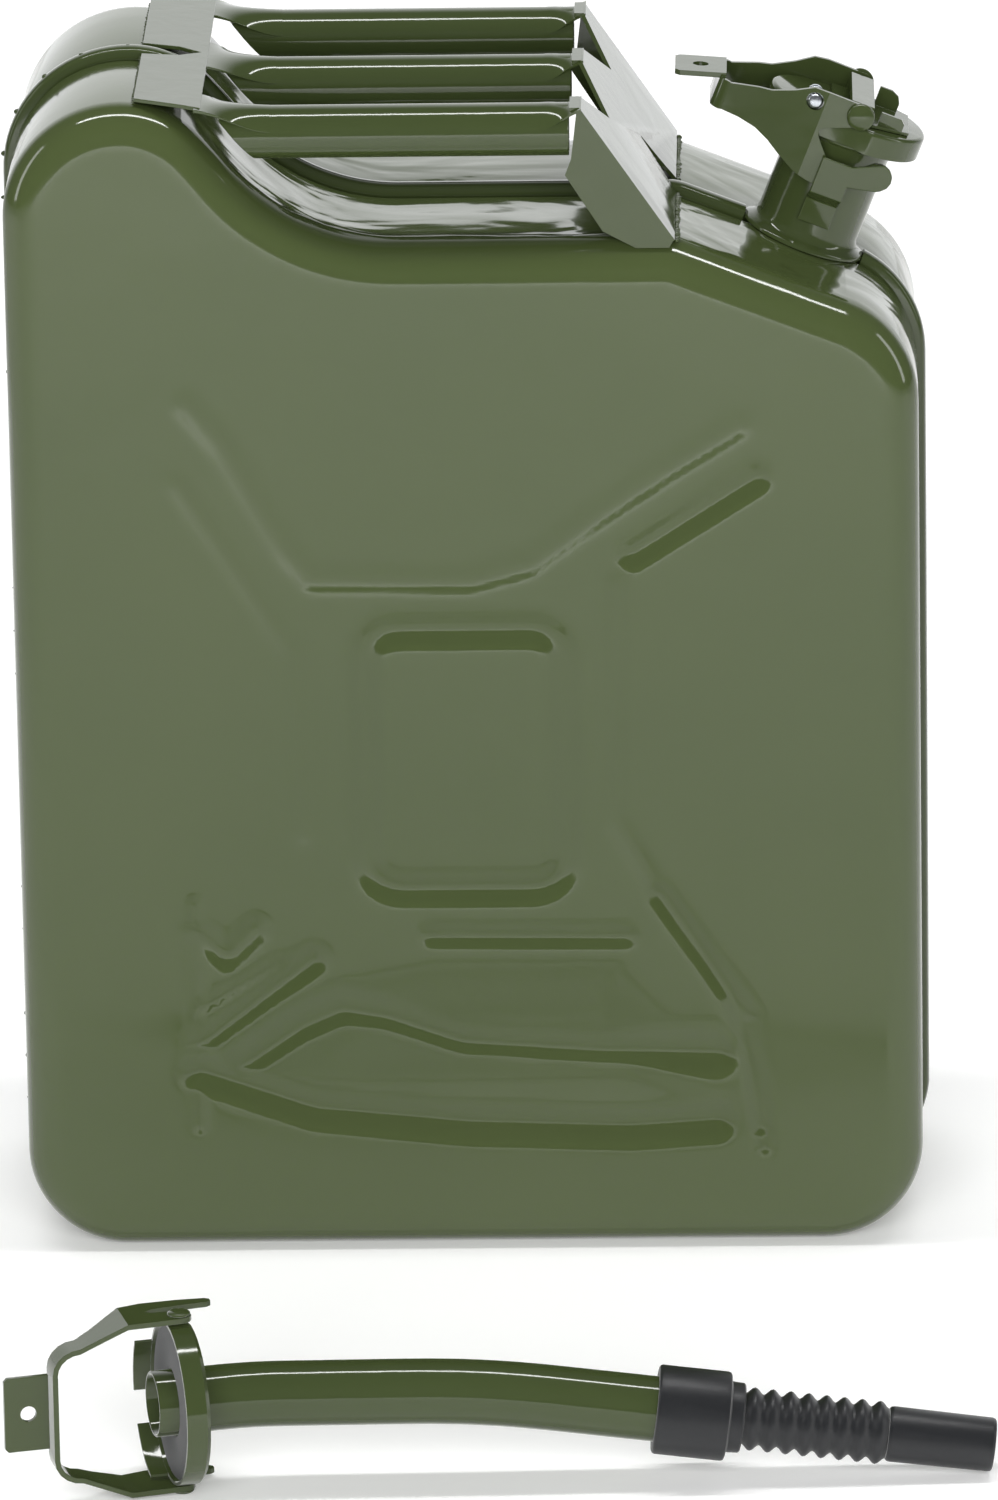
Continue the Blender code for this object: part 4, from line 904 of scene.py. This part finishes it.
# ------------------------------------------------------------------ spout
# A bent 24 mm steel tube welded to a cup that clips on the can's neck in the lid's place. The cup holds a
# rubber seal round a short nipple, and a lever riveted to its sides draws it tight.

SPOUT_MOUTH = Vector((-97.6, -335.0, 35.2)) * MM
CUP_YAW = math.radians(15.5)
TUBE_YAW = math.radians(1.4)
TUBE_DROP = math.radians(7.5)
CUP = Matrix.Translation(SPOUT_MOUTH) @ Matrix.Rotation(CUP_YAW, 4, "Z")
CUP_TURN = CUP @ Matrix.Rotation(math.radians(90), 4, "Y")


def ease(value):
    value = min(1.0, max(0.0, value))
    return value * value * (3 - 2 * value)


def spout_heading(s):
    """Direction of the spout's centre line s metres from the cup's back."""
    yaw = CUP_YAW + (TUBE_YAW - CUP_YAW) * ease((s - 4 * MM) / (34 * MM))
    pitch = -TUBE_DROP * ease((s - 70 * MM) / (70 * MM))
    return Vector((math.cos(yaw) * math.cos(pitch), math.sin(yaw) * math.cos(pitch), math.sin(pitch)))


def spout_point(s):
    """Centre line position s metres from the cup's back."""
    place = SPOUT_MOUTH.copy()
    walked = 0.0
    while walked < s - 1e-9:
        stride = min(1 * MM, s - walked)
        place += spout_heading(walked + stride / 2) * stride
        walked += stride
    return place


def spout_tube(path, sides):
    """Skin a closed list of (station, radius) in metres round the centre line."""
    skin = bmesh.new()
    loops = []
    for s, radius in path:
        centre = spout_point(s)
        forward = spout_heading(s)
        side = Vector((-forward.y, forward.x, 0)).normalized()
        up = side.cross(forward).normalized() * -1
        loop = []
        for k in range(sides):
            a = 2 * math.pi * k / sides
            loop.append(skin.verts.new(centre + side * radius * math.cos(a) + up * radius * math.sin(a)))
        loops.append(loop)
    skin_loops(skin, loops, wrap=True)
    return skin


stations = np.linspace(0.002, 0.1749, 62)
path = [(s, 12 * MM) for s in stations] + [(s, 10.8 * MM) for s in stations[::-1]]
show("bent_tube", spout_tube(path, 56), SHADED_PART_ENAMEL, "spout", "spout_tube", sharp=60)
dressed("clip_cup", "spout_cup", SHADED_PART_ENAMEL, "spout", 0.35 * MM, angle=40)
nipple = scaled([(12.1, -14.6), (12.1, 1.5), (10.9, 1.5), (10.9, -14.6), (11.2, -15), (11.8, -15)])
show("inner_collar", turned(nipple, 64, CUP_TURN), SHADED_PART_ENAMEL, "spout", "spout_nipple")
seal = scaled([(28.8, -7.2), (28.8, -3.2), (27.2, -1.9), (12.7, -1.9), (12.7, -7.4), (13.5, -8), (28.0, -8)])
show("cup_seal", turned(seal, 80, CUP_TURN), nitrile, "spout", "spout_gasket", slot="rubber")

dressed("clip_lever", "spout_lever", SHADED_PART_ENAMEL, "spout_clip", 0.45 * MM)
SPOUT_PIVOT = CUP @ Matrix.Translation((-4.5 * MM, 0, 0)) @ Matrix.Rotation(math.radians(-90), 4, "X")
for end, side in (("lower", 1), ("upper", -1)):
    profile = [(r * MM, h * MM) for r, h in rivet_profile((4.2, 33.9, 35.5), (1.95, 30.8))]
    show(f"clip_rivet_{end}", turned(profile, 48, across(Vector((0, 0, 0)), side, SPOUT_PIVOT)), SHADED_PART_ENAMEL,
         "spout", f"spout_rivet_{end}")


# ------------------------------------------------------------------ flexible nozzle
# One soft black PVC moulding: a collar pushed on the tube's end, eight ridges that bend, and a plain tip.
# Its surface is matt from the mould, with a fine pebble.

black_pvc, tree, shader = new_material("black_moulded_pvc")
place = add_node(tree, "ShaderNodeTexCoord").outputs["Object"]
skin_noise = add_node(tree, "ShaderNodeTexNoise", inputs={"Vector": place, "Scale": 600.0, "Detail": 3.0})
tone = add_node(tree, "ShaderNodeMix", {"data_type": "RGBA"},
                {"Factor": skin_noise.outputs["Fac"], 6: srgb("#17181A"), 7: srgb("#212224")})
tree.links.new(tone.outputs[2], shader.inputs["Base Color"])
rough = add_node(tree, "ShaderNodeMapRange",
                 inputs={"Value": skin_noise.outputs["Fac"], "To Min": 0.34, "To Max": 0.5})
tree.links.new(rough.outputs["Result"], shader.inputs["Roughness"])
bump = add_node(tree, "ShaderNodeBump",
                inputs={"Height": skin_noise.outputs["Fac"], "Strength": 0.5, "Distance": 0.00006})
tree.links.new(bump.outputs["Normal"], shader.inputs["Normal"])

collar = [(169.5, 12.3), (169.5, 15.4), (169.9, 16.1), (170.7, 16.4), (194.7, 16.4), (195.7, 16.1), (196.1, 15.4),
          (196.2, 13.6), (196.7, 13.0), (200.9, 12.8), (201.5, 12.2), (201.5, 8.4), (176.5, 8.4), (176.5, 12.3)]
show("nozzle_sleeve", spout_tube([(s * MM, r * MM) for s, r in collar], 64), black_pvc, "spout", "nozzle_collar",
     slot="plastic")

BELLOWS_START, BELLOWS_END, RIDGES = 201.8, 254.5, 8
pitch = (BELLOWS_END - BELLOWS_START) / RIDGES
ribs = []
for k in range(RIDGES * 8 + 1):
    wave = 0.5 - 0.5 * math.cos(2 * math.pi * k / 8)
    ribs.append((BELLOWS_START + k * pitch / 8, 9.2 + 2.4 * wave ** 0.8))
ribs += [(BELLOWS_END - (BELLOWS_END - BELLOWS_START) * k / 16, 7.4) for k in range(17)]
bellows = show("nozzle_ridges", spout_tube([(s * MM, r * MM) for s, r in ribs], 56), black_pvc, None,
               "nozzle_bellows", slot="plastic", sharp=70)
tip = [(254.8, 9.4), (255.4, 10.0), (256.5, 10.2), (292.6, 9.9), (293.6, 9.6), (294, 9.0), (294, 7.8), (293.6, 7.4),
       (254.8, 7.4)]
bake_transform(bellows, "spout", "nozzle", start=tuple(spout_point(BELLOWS_START * MM)),
         end=tuple(spout_point(BELLOWS_END * MM)))
show("nozzle_end", spout_tube([(s * MM, r * MM) for s, r in tip], 64), black_pvc, "nozzle", "nozzle_tip",
     slot="plastic")

# The spout lies apart from the can and isn't mirrored in its face.
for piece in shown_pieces():
    if {"spout", "spout_clip", "nozzle"} & set(body_of(piece) or []):
        piece.visible_glossy = False
